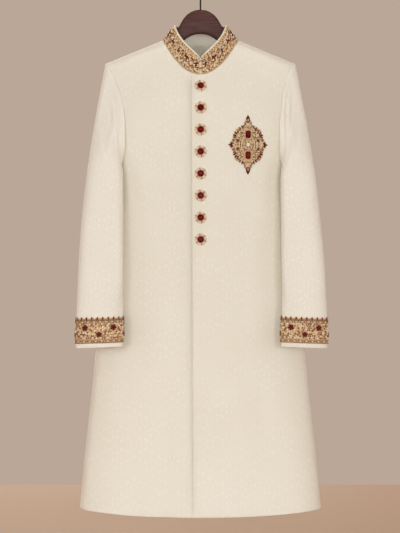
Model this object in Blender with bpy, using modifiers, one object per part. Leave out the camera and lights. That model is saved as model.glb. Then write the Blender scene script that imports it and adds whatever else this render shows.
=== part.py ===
"""Sherwani coat on a wooden hanger.

Units are metres and +Z is up.  The origin is the point where the hook rests on a rail.  The coat's front
faces -Y, and the wearer's left is at +X.  Every cloth piece is a thin wall between an outer and an inner grid
of points; the points follow the section tables below.  Neighbouring pieces keep a small seam gap.
"""
import math
from collections import namedtuple

import bmesh
import bpy
import numpy as np
from mathutils import Matrix, Vector

# ---------------------------------------------------------------- driving sizes
WALL = 0.0016               # brocade, interlining and lining together
COLLAR_WALL = 0.0024        # stiffened stand collar
BAND_WALL = 0.0014          # embroidered cuff band
SEAM_GAP = 0.0003
OVERLAP_GAP = 0.0006        # between the two fronts where they lap

NECK_X = 0.0890             # half width of the neck seam at the side of the neck
NECK_Z = -0.1490
NECK_FRONT_Z = -0.2340      # pit of the neck, at the front closure
NECK_BACK_Z = -0.1550
SHOULDER_X = 0.2225
SHOULDER_Z = -0.2035
SHOULDER_SLOPE = (NECK_Z - SHOULDER_Z) / (SHOULDER_X - NECK_X)

HEM_SIDE_Z = -1.2430
HEM_FRONT_Z = -1.2575
HEM_BACK_Z = -1.2530
HEM_CURVE = 2.2             # exponent of the hem's rise from the centre to the side
LAP_TOP_X = -0.0197         # edge of the lapping (left) front, at the neck and at the hem
LAP_HEM_X = -0.0150
UNDERLAP_X = 0.0180         # hidden edge of the right front
UNDERLAP_RISE = (-0.052, -0.030)

SQUARENESS = 2.8            # exponent of the body's rounded sections
ROLL_DROP = 0.020           # how far below the shoulder line the first roll of cloth ends
CHEST_DROP = 0.200          # how far below it the chest is at its full depth
ROLL_SHARE = {"front": 0.36, "back": 0.46}
FRAME_STEP = 0.002          # how far apart the points are that give a direction on the front
ARMHOLE_REACH = 3           # exponent of how far into a panel the armhole's curve draws its columns

# Soft waves of the skirt, which grow toward the hem: their height, how close they are and where they start.
Wave = namedtuple("Wave", "face height per_metre phase")
WAVES = (
    Wave("front", 0.0016, 31, 0.6),
    Wave("front", 0.0012, 47, 2.1),
    Wave("back", 0.0032, 29, 1.9),
    Wave("back", 0.0018, 53, 0.4),
)
WAVES_TOP_Z = -0.70
WAVES_RUN = 0.60
WAVES_GROWTH = 1.5

COLLAR_HEIGHT_ROWS = 3
COLLAR_TOP_X = 0.0615
COLLAR_TOP_Z = -0.1140
COLLAR_TOP_BACK_Z = -0.1175
COLLAR_TOP_FRONT_Z = -0.1945
COLLAR_TOP_FRONT_Y = -0.0530
COLLAR_TOP_BACK_Y = 0.0400
COLLAR_CORNER = 0.0055      # radius of the rounded front corners
COLLAR_CORNER_TURN = 0.11   # angle round the neck that a corner takes up
COLLAR_CORNER_STEPS = (0, 0.12, 0.35, 0.65, 1.0)
COLLAR_EARLY_RISE = 0.72    # share of its front rise that the collar's edge makes evenly round the neck
COLLAR_LATE_POWER = 6       # the rest comes late, close to the shoulder
PIPING_RADIUS = 0.0009
COLLAR_END_X = PIPING_RADIUS * 2 + SEAM_GAP * 1.5

BUTTONS = 8
BUTTON_X = 0.0006
BUTTON_TOP_Z = -0.2622
BUTTON_PITCH = 0.0506
BUTTON_SIDES = {"setting": 14, "stone": 10}
Turned = namedtuple("Turned", "radius height")
SETTING_PROFILE = (
    Turned(0.0, 0.0022),
    Turned(0.0072, 0.0022),
    Turned(0.0080, 0.0038),
    Turned(0.0104, 0.0046),
    Turned(0.0130, 0.0037),
    Turned(0.0141, 0.0018),
    Turned(0.0136, 0.0),
    Turned(0.0, 0.0),
)
STONE_PROFILE = (
    Turned(0.0, 0.0070),
    Turned(0.0034, 0.0065),
    Turned(0.0057, 0.0050),
    Turned(0.0068, 0.0034),
    Turned(0.0066, 0.0025),
    Turned(0.0, 0.0025),
)
MEDALLION = {"x": 0.1094, "z": -0.3985, "half_width": 0.0450, "half_height": 0.0680}
MEDALLION_POINTS = 36
MEDALLION_UNDER_RINGS = (0.02, 0.35, 0.68, 1.0)
MEDALLION_UPPER_RINGS = (0.93, 0.62, 0.32, 0.02)
PATCH_THICKNESS = 0.0016
PATCH_GAP = 0.0006          # the patch lies on a curved panel, so its flat facets keep more than a seam gap
# A row for each turn of a quarter of its outline, from the side tip to the top one, with the share of the half
# width and half height that it reaches there: four soft corner lobes between pointed tips.
Lobe = namedtuple("Lobe", "degrees reach")
MEDALLION_OUTLINE = (
    Lobe(0, 1.000),
    Lobe(10, 0.880),
    Lobe(20, 0.845),
    Lobe(30, 0.840),
    Lobe(40, 0.845),
    Lobe(50, 0.780),
    Lobe(60, 0.715),
    Lobe(70, 0.710),
    Lobe(80, 0.820),
    Lobe(90, 1.000),
)
Gem = namedtuple("Gem", "name rise half_width half_height half_depth")
GEMS = (
    Gem("medallion_stone_top", 0.0240, 0.0060, 0.0085, 0.0030),
    Gem("medallion_pearl", 0.0, 0.0046, 0.0046, 0.0038),
    Gem("medallion_stone_bottom", -0.0240, 0.0060, 0.0085, 0.0030),
)

HOOK_WIRE = 0.0020          # radius of the hook's wire
HOOK_BEND = 0.0220          # radius of its bend, to the middle of the wire
HOOK_TURN = 220             # degrees of its bend
HOOK_STEM_Z = (-0.0660, -0.0565)  # straight stem above the hanger
HOOK_NECK_Z = -0.0520       # foot of the swan neck, which ends HOOK_NECK_GAP under the bend's middle
HOOK_NECK_GAP = 0.004
HOOK_NECK_REACH = 0.985     # how far out the neck swings, as a share of the bend's radius
HOOK_NECK_STEPS = 8
HOOK_BEND_STEPS = 18
HANGER_TOP_Z = -0.0755
HANGER_SIDES = 12
HANGER_ROUNDNESS = 0.8      # exponent of its sections: 1 is an ellipse, less is squarer

Body = namedtuple("Body", "z half_width front_depth back_depth")
BODY = (
    Body(-0.100, 0.2450, 0.0850, 0.0800),
    Body(-0.215, 0.2440, 0.0850, 0.0800),
    Body(-0.275, 0.2340, 0.0855, 0.0810),
    Body(-0.335, 0.2190, 0.0860, 0.0820),
    Body(-0.395, 0.2070, 0.0860, 0.0825),
    Body(-0.455, 0.2005, 0.0855, 0.0820),
    Body(-0.530, 0.2040, 0.0830, 0.0780),
    Body(-0.640, 0.2160, 0.0790, 0.0720),
    Body(-0.760, 0.2315, 0.0775, 0.0700),
    Body(-0.868, 0.2442, 0.0785, 0.0710),
    Body(-0.945, 0.2516, 0.0795, 0.0725),
    Body(-1.055, 0.2637, 0.0815, 0.0745),
    Body(-1.140, 0.2727, 0.0830, 0.0765),
    Body(-1.243, 0.2826, 0.0850, 0.0790),
    Body(-1.270, 0.2850, 0.0855, 0.0795),
)

# A row for each step down the armhole: how far below the shoulder point, and how far out its seam lies.
Armhole = namedtuple("Armhole", "drop left_front right_front back")
ARMHOLE = (
    Armhole(0.0000, 0.2225, 0.2225, 0.2225),
    Armhole(0.0012, 0.2213, 0.2216, 0.2222),
    Armhole(0.0050, 0.2175, 0.2190, 0.2212),
    Armhole(0.0125, 0.2105, 0.2135, 0.2190),
    Armhole(0.0260, 0.2045, 0.2055, 0.2155),
    Armhole(0.0500, 0.1975, 0.1945, 0.2095),
    Armhole(0.0850, 0.1898, 0.1825, 0.2025),
    Armhole(0.1250, 0.1850, 0.1752, 0.1970),
    Armhole(0.1650, 0.1833, 0.1742, 0.1945),
    Armhole(0.2000, 0.1836, 0.1748, 0.1942),
    Armhole(0.2280, 0.1865, 0.1795, 0.1950),
    Armhole(0.2445, 0.1925, 0.1885, 0.1965),
    Armhole(0.2515, 0.2005, 0.2005, 0.2005),
)
SIDE_ROWS = 14              # rows of the side seam, from the underarm to the hem
NECK_STEP = math.radians(15)  # between the points of the neck seam, which the collar shares
SHOULDER_COLUMNS = 7

# A row for each section of the sleeve below the armhole: its outer and inner edges, then how far forward
# its middle lies and how deep it is before and behind that.
Sleeve = namedtuple("Sleeve", "z left_outer left_inner right_outer right_inner middle_y front back")
SLEEVE = (
    Sleeve(-0.470, 0.2670, 0.1840, 0.2643, 0.1757, -0.045, 0.049, 0.082),
    Sleeve(-0.556, 0.2763, 0.1862, 0.2737, 0.1775, -0.059, 0.042, 0.067),
    Sleeve(-0.650, 0.2851, 0.1867, 0.2801, 0.1775, -0.072, 0.034, 0.050),
    Sleeve(-0.755, 0.2904, 0.1876, 0.2845, 0.1775, -0.083, 0.027, 0.034),
    Sleeve(-0.800, 0.2918, 0.1866, 0.2860, 0.1776, -0.087, 0.025, 0.030),
    Sleeve(-0.864, 0.2925, 0.1852, 0.2873, 0.1784, -0.092, 0.023, 0.026),
)
CAP_STEPS = (0.08, 0.18, 0.30, 0.43, 0.57, 0.72, 0.86, 1.0)
SLEEVE_ROWS = 9             # rings from the end of the sleeve head to the cuff edge
SLEEVE_TURN = math.radians(35)  # how far the underarm seam lies behind the sleeve's inner edge at the top
SLEEVE_TURN_RUN = 1.2       # how soon down the sleeve that turn is gone

# How the cloth of the sleeve head leaves its seam: out along the panels, then the pulls (outward, back, up)
# that are strongest over the shoulder point and at the front and the back.
HEAD_LEAVE = 0.022
HEAD_TOP_PULL = (0.030, 0.0, -0.24)
HEAD_FRONT_PULL = (0.022, -0.04, -0.06)
HEAD_BACK_PULL = (0.022, 0.03, -0.06)
HEAD_ARRIVE = 0.9           # pull at the head's lower end, as a share of the way there
HEAD_ARRIVE_LEAST = 0.02
HEAD_PROBE = 0.02           # length of sleeve that gives the direction at that end
DRAG_FOLD = {"height": 0.0022, "per_head": 9.5, "slant": 1.4, "fade": 1.2, "back_share": 0.8, "lean": 0.3}
CUFF_TILT = 0.0018          # the outer side of the cuff hangs lower
BODY_CLEARANCE = 0.004
UNDERARM_CLEARANCE = 0.0060
UNDERARM_RUN = 4            # how soon down the sleeve the clearance falls from one to the other
CUFF_BAND_TOP = -0.7985
CUFF_BAND_BOTTOM = -0.8545
SCALLOP = 0.0035
BAND_SPLIT = 2              # columns of the cuff band for each column of the sleeve
BAND_STEPS = (0.0, 0.12, 1.0)

# A row for each section of the hanger, out from its middle.
Hanger = namedtuple("Hanger", "x top bottom half_thickness")
HANGER = (
    Hanger(0.0000, -0.0755, -0.1330, 0.0065),
    Hanger(0.0110, -0.0768, -0.1338, 0.0065),
    Hanger(0.0220, -0.0812, -0.1372, 0.0065),
    Hanger(0.0320, -0.0878, -0.1434, 0.0065),
    Hanger(0.0400, -0.0970, -0.1500, 0.0065),
    Hanger(0.0465, -0.1080, -0.1550, 0.0066),
    Hanger(0.0515, -0.1172, -0.1590, 0.0067),
    Hanger(0.0590, -0.1190, -0.1640, 0.0068),
    Hanger(0.0700, -0.1345, -0.1705, 0.0070),
    Hanger(0.0860, -0.1524, -0.1790, 0.0075),
    Hanger(0.0920, -0.1534, -0.1815, 0.0080),
    Hanger(0.1200, -0.1642, -0.1925, 0.0100),
    Hanger(0.1600, -0.1804, -0.2085, 0.0130),
    Hanger(0.1950, -0.1947, -0.2215, 0.0150),
    Hanger(0.2080, -0.2008, -0.2240, 0.0135),
    Hanger(0.2140, -0.2060, -0.2200, 0.0085),
)

SIDES = {"left": 1, "right": -1}


# ---------------------------------------------------------------- small tools
def remove_everything():
    for item in list(bpy.data.objects):
        bpy.data.objects.remove(item, do_unlink=True)


def material(name, colour, roughness, metallic=0.0):
    made = bpy.data.materials.new(name)
    made.use_nodes = True
    shader = made.node_tree.nodes["Principled BSDF"]
    shader.inputs["Base Color"].default_value = (*colour, 1.0)
    shader.inputs["Roughness"].default_value = roughness
    shader.inputs["Metallic"].default_value = metallic
    return made


def ease(share):
    share = min(max(share, 0.0), 1.0)
    return share * share * (3 - 2 * share)


def read_table(table, column, z):
    """Value of one column of a section table at height z, on a smooth curve through its rows."""
    heights = [-row.z for row in table]
    values = [getattr(row, column) for row in table]
    at = min(max(-z, heights[0]), heights[-1])
    low = max(index for index in range(len(heights) - 1) if heights[index] <= at)
    slopes = np.gradient(values, heights)
    step = heights[low + 1] - heights[low]
    share = (at - heights[low]) / step
    return hermite(values[low], slopes[low] * step, values[low + 1], slopes[low + 1] * step, share)


def hermite(start, start_pull, end, end_pull, share):
    square, cube = share ** 2, share ** 3
    return (
        start * (2 * cube - 3 * square + 1)
        + start_pull * (cube - 2 * square + share)
        + end * (3 * square - 2 * cube)
        + end_pull * (cube - square)
    )


def unit(vectors):
    return vectors / np.linalg.norm(vectors, axis=-1, keepdims=True)


def grid_normals(grid, wraps, toward):
    """Unit normals of a grid of points, turned so that they agree with the directions in toward."""
    down = np.gradient(grid, axis=0)
    if wraps:
        across = (np.roll(grid, -1, axis=1) - np.roll(grid, 1, axis=1)) / 2
    else:
        across = np.gradient(grid, axis=1)
    normals = unit(np.cross(down, across))
    sign = np.sign(np.mean(np.sum(normals * toward, axis=-1)))
    return normals * sign


def wall(name, outer, inner, wraps, finish):
    """Closed solid between an outer and an inner grid of the same size; each cell is split the shorter way."""
    rows, columns = outer.shape[:2]
    built = bmesh.new()
    skins = []
    for grid in (outer, inner):
        skins.append([[built.verts.new(point) for point in row] for row in grid.tolist()])
    for row in range(rows - 1):
        for column in range(columns if wraps else columns - 1):
            beside = (column + 1) % columns
            cell = ((row, column), (row, beside), (row + 1, beside), (row + 1, column))
            falling = np.linalg.norm(outer[cell[0]] - outer[cell[2]])
            rising = np.linalg.norm(outer[cell[1]] - outer[cell[3]])
            halves = ((0, 1, 2), (0, 2, 3)) if falling <= rising else ((0, 1, 3), (1, 2, 3))
            for skin in skins:
                for half in halves:
                    built.faces.new([skin[cell[corner][0]][cell[corner][1]] for corner in half])
    closing = [0] if wraps else []
    rims = [[(row, column) for column in [*range(columns), *closing]] for row in (0, rows - 1)]
    if not wraps:
        rims += [[(row, column) for row in range(rows)] for column in (0, columns - 1)]
    for rim in rims:
        for (row, column), (row_b, column_b) in zip(rim, rim[1:]):
            built.faces.new((skins[0][row][column], skins[0][row_b][column_b],
                             skins[1][row_b][column_b], skins[1][row][column]))
    return finished(name, built, finish)


def finished(name, built, finish):
    bmesh.ops.recalc_face_normals(built, faces=built.faces)
    mesh = bpy.data.meshes.new(name)
    built.to_mesh(mesh)
    built.free()
    return placed(name, mesh, finish)


def placed(name, data, finish):
    data.materials.append(finish)
    item = bpy.data.objects.new(name, data)
    COLLECTION.objects.link(item)
    if item.type == "MESH":
        data.shade_smooth()
        data.set_sharp_from_angle(angle=math.radians(40))
    return item


# ---------------------------------------------------------------- the body's form
def shoulder_line(x):
    return NECK_Z - SHOULDER_SLOPE * (abs(x) - NECK_X)


def flute(x, z, face):
    """Soft uneven waves of the skirt, growing toward the hem."""
    growth = ease((WAVES_TOP_Z - z) / WAVES_RUN) ** WAVES_GROWTH
    heights = [wave.height * math.sin(wave.per_metre * x + wave.phase) for wave in WAVES if wave.face == face]
    return growth * sum(heights)


def body_depth(x, z, face):
    """How far the cloth stands before or behind the plane of the side seams."""
    half_width = read_table(BODY, "half_width", z)
    full = read_table(BODY, face + "_depth", z)
    share = min(abs(x) / half_width, 1.0)
    across = (1 - share ** SQUARENESS) ** (1 / SQUARENESS)
    drop = max(shoulder_line(x) - z, 0.0)
    crown = math.sqrt(1 - (1 - min(drop / ROLL_DROP, 1.0)) ** 2)
    roll = ROLL_SHARE[face]
    return (full + flute(x, z, face)) * across * (roll * crown + (1 - roll) * ease(drop / CHEST_DROP))


def body_point(x, z, face):
    """Point of the body's outer surface; the seams stand half a gap off the plane of the side seams."""
    depth = max(body_depth(x, z, face), SEAM_GAP / 2)
    return np.array((x, -depth if face == "front" else depth, z))


def body_frame(x, z):
    """Point and outward normal of the front at a place, for what lies on it."""
    step = FRAME_STEP
    middle = body_point(x, z, "front")
    across = body_point(x + step, z, "front") - body_point(x - step, z, "front")
    upward = body_point(x, z + step, "front") - body_point(x, z - step, "front")
    return middle, unit(np.cross(across, upward))


# ---------------------------------------------------------------- body panels
def neck_seam(turn, face):
    """Front view of the neck seam; turn is 0 at the closure or centre back and 90 degrees at the shoulder."""
    centre_z = NECK_FRONT_Z if face == "front" else NECK_BACK_Z
    return NECK_X * math.sin(turn), NECK_Z + (centre_z - NECK_Z) * math.cos(turn) ** 2


def hem_z(x, face):
    centre = HEM_FRONT_Z if face == "front" else HEM_BACK_Z
    share = min(abs(x) / read_table(BODY, "half_width", HEM_SIDE_Z), 1.0)
    return centre + (HEM_SIDE_Z - centre) * share ** HEM_CURVE


def top_edge(start_x, face):
    """Neck seam and shoulder seam of a panel, as front-view points from the centre outward."""
    first_turn = math.asin(start_x / NECK_X)
    steps = [NECK_STEP * step for step in range(round(math.pi / 2 / NECK_STEP) + 1)]
    points = []
    for turn in [first_turn] + [step for step in steps if step > first_turn + NECK_STEP / 4]:
        x, z = neck_seam(turn, face)
        points.append((x + SEAM_GAP * math.sin(turn), z - 1.5 * SEAM_GAP * math.cos(turn)))
    neck_x = points[-1][0]
    for column in range(1, SHOULDER_COLUMNS + 1):
        x = neck_x + (SHOULDER_X - neck_x) * math.sin(math.pi / 2 * column / SHOULDER_COLUMNS)
        points.append((x, shoulder_line(x)))
    return np.array(points)


def side_edge(side, face):
    """Armhole and side seam of a panel, from the shoulder point down."""
    column = "back" if face == "back" else side + "_front"
    points = [(getattr(row, column), SHOULDER_Z - row.drop) for row in ARMHOLE]
    underarm_z = points[-1][1]
    for row in range(1, SIDE_ROWS + 1):
        z = underarm_z + (HEM_SIDE_Z - underarm_z) * row / SIDE_ROWS
        points.append((read_table(BODY, "half_width", z), z))
    return np.array(points)


def panel_outline_grid(side, face, top_x, hem_x):
    """Front-view grid of a panel: straight from top edge to hem, drawn in at the side by the armhole."""
    top = top_edge(top_x, face)
    outer_side = side_edge(side, face)
    down = (outer_side[:, 1] - outer_side[0, 1]) / (outer_side[-1, 1] - outer_side[0, 1])
    spread = (top[:, 0] - top[0, 0]) / (top[-1, 0] - top[0, 0])
    hem_places = hem_x + (outer_side[-1, 0] - hem_x) * spread
    hem = np.array([(x, hem_z(x, face)) for x in hem_places])
    hem[-1] = outer_side[-1]
    across, below = np.meshgrid(spread, down)
    across, below = across[..., None], below[..., None]
    drawn_in = outer_side[:, None] - (1 - below) * top[-1] - below * hem[-1]
    return (1 - below) * top[None] + below * hem[None] + across ** ARMHOLE_REACH * drawn_in


def body_panel(name, side, face, top_x, hem_x, finish, lap=None):
    """One front or back, with the outer and inner grids it is made of."""
    flat = panel_outline_grid(side, face, top_x, hem_x)
    sign = SIDES[side]
    outer = np.array([[body_point(sign * x, z, face) for x, z in row] for row in flat])
    if lap:
        inset = WALL + OVERLAP_GAP
        for point in outer.reshape(-1, 3):
            point[1] += inset * ease((point[0] - lap[0]) / (lap[1] - lap[0]))
    toward = outer * np.array((0.3, 1.0, 0.0)) + np.array((0.0, 0.0, 0.0001))
    normals = grid_normals(outer, False, toward)
    normals[0, -1 - SHOULDER_COLUMNS:, 1] = 0.0
    normals[len(ARMHOLE) - 1:, -1, 1] = 0.0
    if face == "back":
        normals[:, 0, 0] = 0.0
    inner = outer - WALL * unit(normals)
    wall(name, outer, inner, False, finish)
    return outer, inner


# ---------------------------------------------------------------- sleeves
def armhole_ring(front, back):
    """Outer, inner and outward rings along the armhole edge of two panels, down the front and up the back."""
    count = len(ARMHOLE)
    rings = []
    for layer in (0, 1):
        front_edge, back_edge = front[layer][:count, -1], back[layer][:count, -1]
        ring = np.concatenate((front_edge, back_edge[-2:0:-1]))
        ring[0] = (front_edge[0] + back_edge[0]) / 2
        ring[count - 1] = (front_edge[-1] + back_edge[-1]) / 2
        rings.append(ring)
    before_front, before_back = front[0][:count, -2], back[0][:count, -2]
    before = np.concatenate((before_front, before_back[-2:0:-1]))
    before[0] = (before_front[0] + before_back[0]) / 2
    outward = rings[0] - before
    outward[count - 1] = (0.0, 0.0, 1.0)
    along = unit(np.roll(rings[0], -1, axis=0) - np.roll(rings[0], 1, axis=0))
    outward = outward - along * np.sum(outward * along, axis=1, keepdims=True)
    return rings[0], rings[1], unit(outward)


def ring_turns(ring):
    """Angle of each point round the sleeve: 0 outside, 90 degrees in front, 180 at the underarm seam."""
    half = len(ARMHOLE) - 1
    steps = np.linalg.norm(np.roll(ring, -1, axis=0) - ring, axis=1)
    turns = [0.0]
    for start, stop in ((0, half), (half, 2 * half)):
        length = sum(steps[start:stop])
        turns += [turns[start] + math.pi * sum(steps[start:index + 1]) / length for index in range(start, stop)]
    return turns[:-1]


def sleeve_point(side, turn, z):
    """Point of a sleeve's section below the armhole, clear of the body's side."""
    share = (SLEEVE[0].z - z) / (SLEEVE[0].z - SLEEVE[-1].z)
    angle = turn + SLEEVE_TURN * (1 - ease(share * SLEEVE_TURN_RUN)) * (1 - math.cos(turn)) / 2
    outer = read_table(SLEEVE, side + "_outer", z)
    inner = read_table(SLEEVE, side + "_inner", z)
    middle_y = read_table(SLEEVE, "middle_y", z)
    reach = read_table(SLEEVE, "front" if math.sin(angle) > 0 else "back", z)
    x = (outer + inner) / 2 + (outer - inner) / 2 * math.cos(angle)
    y = middle_y - reach * math.sin(angle)
    clearance = BODY_CLEARANCE + (UNDERARM_CLEARANCE - BODY_CLEARANCE) * (1 - ease(share * UNDERARM_RUN))
    x, y = clear_of_body(x, y, z, clearance)
    z -= CUFF_TILT * math.cos(turn) * ease(share)
    return np.array((SIDES[side] * x, y, z))


def clear_of_body(x, y, z, clearance):
    """Move a front-view place straight out from the body's middle until it clears the body's section."""
    width = read_table(BODY, "half_width", z) + clearance
    depth = read_table(BODY, "front_depth" if y < 0 else "back_depth", z) + clearance
    inside = (abs(x) / width) ** SQUARENESS + (abs(y) / depth) ** SQUARENESS
    scale = max(inside ** (-1 / SQUARENESS), 1.0)
    return x * scale, y * scale


def head_fold(turn, share):
    """Soft drag folds of the sleeve head, slanting from the front seam to the outer edge."""
    front = max(math.sin(turn), 0.0) ** 2
    back = max(-math.sin(turn), 0.0) ** 2
    fade = math.sin(math.pi * min(share, 1.0)) ** DRAG_FOLD["fade"]
    wave = math.sin(DRAG_FOLD["per_head"] * share + DRAG_FOLD["slant"] * turn) * fade
    return DRAG_FOLD["height"] * wave * (front + DRAG_FOLD["back_share"] * back)


def sleeve_grid(side, front, back):
    """Outer grid of a sleeve, its inner ring at the armhole, and the angle of each column."""
    sign = SIDES[side]
    seam_outer, seam_inner, outward = armhole_ring(front, back)
    start = seam_outer + SEAM_GAP * outward
    start_inner = seam_inner + SEAM_GAP * outward
    turns = ring_turns(seam_outer)
    head_end = np.array([sleeve_point(side, turn, SLEEVE[0].z) for turn in turns])
    below = np.array([sleeve_point(side, turn, SLEEVE[0].z - HEAD_PROBE) for turn in turns])
    heading = unit(below - head_end)
    rows = [start]
    for share in CAP_STEPS:
        row = []
        for turn, first, last, leave, onward in zip(turns, start, head_end, outward, heading):
            top = ((1 + math.cos(turn)) / 2) ** 1.5
            swing = abs(math.sin(turn))
            side_pull = HEAD_FRONT_PULL if math.sin(turn) > 0 else HEAD_BACK_PULL
            pull = (top * np.array(HEAD_TOP_PULL) + swing * np.array(side_pull)) * (sign, 1, 1)
            pull = pull + HEAD_LEAVE * leave
            arrive = onward * max(np.linalg.norm(last - first) * HEAD_ARRIVE, HEAD_ARRIVE_LEAST)
            point = hermite(first, pull, last, arrive, share)
            ridge = head_fold(turn, share)
            row.append(point + ridge * np.array((sign * DRAG_FOLD["lean"], -math.sin(turn), 0)))
        rows.append(np.array(row))
    for row in range(1, SLEEVE_ROWS + 1):
        z = SLEEVE[0].z + (SLEEVE[-1].z - SLEEVE[0].z) * row / SLEEVE_ROWS
        rows.append(np.array([sleeve_point(side, turn, z) for turn in turns]))
    return np.array(rows), start_inner, turns


def sleeve(side, front, back, finish):
    outer, first_inner, turns = sleeve_grid(side, front, back)
    toward = outer - outer.mean(axis=1, keepdims=True)
    normals = grid_normals(outer, True, toward)
    inner = outer - WALL * normals
    inner[0] = first_inner
    wall("sleeve_" + side, outer, inner, True, finish)
    return outer, normals


def band_on_sleeve(side, outer, normals, finish):
    """Embroidered cuff band: points between those of the sleeve, moved out, with a scalloped upper edge."""
    heights = outer[..., 2].mean(axis=1)
    columns = outer.shape[1]
    fine = columns * BAND_SPLIT
    rows_outer, rows_inner = [], []
    for step in BAND_STEPS:
        row_outer, row_inner = [], []
        for column in range(fine):
            rise = SCALLOP if step == 0 and column % BAND_SPLIT == 0 else 0.0
            z = CUFF_BAND_TOP + rise + (CUFF_BAND_BOTTOM - CUFF_BAND_TOP) * step
            low = int(np.searchsorted(-heights, -z)) - 1
            down = (heights[low] - z) / (heights[low] - heights[low + 1])
            left = column // BAND_SPLIT
            right = (left + 1) % columns
            part = (column % BAND_SPLIT) / BAND_SPLIT
            place = mix4(outer, low, left, right, down, part)
            normal = unit(mix4(normals, low, left, right, down, part))
            row_inner.append(place + normal * SEAM_GAP)
            row_outer.append(place + normal * (SEAM_GAP + BAND_WALL))
        rows_outer.append(row_outer)
        rows_inner.append(row_inner)
    wall("cuff_band_" + side, np.array(rows_outer), np.array(rows_inner), True, finish)


def mix4(grid, row, left, right, down, part):
    upper = grid[row, left] * (1 - part) + grid[row, right] * part
    lower = grid[row + 1, left] * (1 - part) + grid[row + 1, right] * part
    return upper * (1 - down) + lower * down


# ---------------------------------------------------------------- collar
def neck_point(turn, face):
    """Point of the neck seam, on the straight between the two nearest of its steps."""
    low = math.floor(turn / NECK_STEP + 1e-9)
    ends = [body_point(*neck_seam((low + step) * NECK_STEP, face), face) for step in (0, 1)]
    share = turn / NECK_STEP - low
    return ends[0] * (1 - share) + ends[1] * share


def collar_edge(turn, level):
    """Point of the collar's outer face; turn is 0 at the closure and 180 degrees at centre back."""
    face = "front" if turn <= math.pi / 2 else "back"
    base = neck_point(turn if face == "front" else math.pi - turn, face)
    base[2] += SEAM_GAP
    side_share = math.sin(turn)
    if face == "front":
        rise = COLLAR_EARLY_RISE * side_share + (1 - COLLAR_EARLY_RISE) * side_share ** COLLAR_LATE_POWER
        top_z = COLLAR_TOP_FRONT_Z + (COLLAR_TOP_Z - COLLAR_TOP_FRONT_Z) * rise
        top_y = COLLAR_TOP_FRONT_Y * math.cos(turn)
    else:
        top_z = COLLAR_TOP_BACK_Z + (COLLAR_TOP_Z - COLLAR_TOP_BACK_Z) * side_share ** 2
        top_y = -COLLAR_TOP_BACK_Y * math.cos(turn)
    top = np.array((COLLAR_TOP_X * side_share, top_y, top_z))
    return base + (top - base) * level


def collar_turns():
    """Angles of the collar's columns, close together at the front corners."""
    first = math.asin(COLLAR_END_X / NECK_X)
    corner = [first + share * COLLAR_CORNER_TURN for share in COLLAR_CORNER_STEPS]
    half = corner + [NECK_STEP / 2 * step for step in range(2, round(2 * math.pi / NECK_STEP) + 1)]
    return [-turn for turn in half] + half[-2::-1]


def collar_point(turn, level):
    """Point of the collar at a signed angle, with the rounded corner worked into its height."""
    point = collar_edge(abs(turn), level)
    if turn < 0:
        point[0] = -point[0]
    return point


def corner_level(turn):
    top = collar_edge(abs(turn), 1.0)
    beyond = COLLAR_CORNER - (abs(top[0]) - COLLAR_END_X * COLLAR_TOP_X / NECK_X)
    if beyond <= 0:
        return 1.0
    height = np.linalg.norm(top - collar_edge(abs(turn), 0.0))
    lost = COLLAR_CORNER - math.sqrt(max(COLLAR_CORNER ** 2 - beyond ** 2, 0.0))
    return 1.0 - lost / height


def square_ends(point, turn):
    """The front ends are upright: nothing of the collar comes nearer to the closure than its end."""
    if abs(point[0]) < COLLAR_END_X:
        point[0] = math.copysign(COLLAR_END_X, turn)
    return point


def collar(finish):
    turns = collar_turns()
    levels = [row / COLLAR_HEIGHT_ROWS for row in range(COLLAR_HEIGHT_ROWS, -1, -1)]
    outer = np.array([[square_ends(collar_point(turn, level * corner_level(turn)), turn) for turn in turns]
                      for level in levels])
    toward = outer * np.array((1.0, 1.0, 0.0))
    normals = grid_normals(outer, False, toward)
    for end in (0, -1):
        normals[:, end, 0] = 0.0
    normals = unit(normals)
    inner = outer - COLLAR_WALL * normals
    wall("collar", outer, inner, False, finish)
    return outer, normals


def tube(name, route, radius, finish):
    """Round cord or wire along a route of points."""
    curve = bpy.data.curves.new(name, "CURVE")
    curve.dimensions = "3D"
    curve.bevel_depth = radius
    curve.bevel_resolution = 2
    curve.use_fill_caps = True
    curve.resolution_u = 1
    spline = curve.splines.new("POLY")
    spline.points.add(len(route) - 1)
    for point, place in zip(spline.points, route):
        point.co = (*place, 1.0)
    return placed(name, curve, finish)


def collar_piping(outer, normals, finish):
    """Cord along the collar's upper edge and down both front ends."""
    reach = PIPING_RADIUS + SEAM_GAP
    middle = outer[0] - normals[0] * COLLAR_WALL / 2
    along = unit(np.gradient(middle, axis=0))
    upward = unit(np.cross(normals[0], along))
    upward *= np.sign(upward[len(upward) // 2][2])
    top = middle + upward * reach
    closure_x = PIPING_RADIUS + SEAM_GAP / 2
    ends = []
    for column in (0, -1):
        down = outer[1:, column] - normals[1:, column] * COLLAR_WALL / 2
        down[:, 0] = math.copysign(closure_x, outer[1, column, 0])
        ends.append(down)
    for index in (0, -1):
        top[index, 0] = math.copysign(closure_x, outer[1, index, 0])
    route = np.concatenate((ends[0][::-1], top, ends[1]))
    return tube("collar_piping", route, PIPING_RADIUS, finish)


# ---------------------------------------------------------------- buttons and medallion
def turned(name, profile):
    """Mesh of a profile, outward at +X, that a Screw modifier turns about Z."""
    mesh = bpy.data.meshes.new(name)
    points = [(place.radius, 0, place.height) for place in profile]
    mesh.from_pydata(points, [(index, index + 1) for index in range(len(points) - 1)], [])
    return mesh


def turned_object(name, mesh, steps, place, finish):
    item = bpy.data.objects.new(name, mesh)
    COLLECTION.objects.link(item)
    if not mesh.materials:
        mesh.materials.append(finish)
    screw = item.modifiers.new("turn", "SCREW")
    screw.steps = screw.render_steps = steps
    screw.use_merge_vertices = True
    screw.merge_threshold = 0.00005
    screw.use_smooth_shade = True
    item.matrix_world = place
    return item


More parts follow.
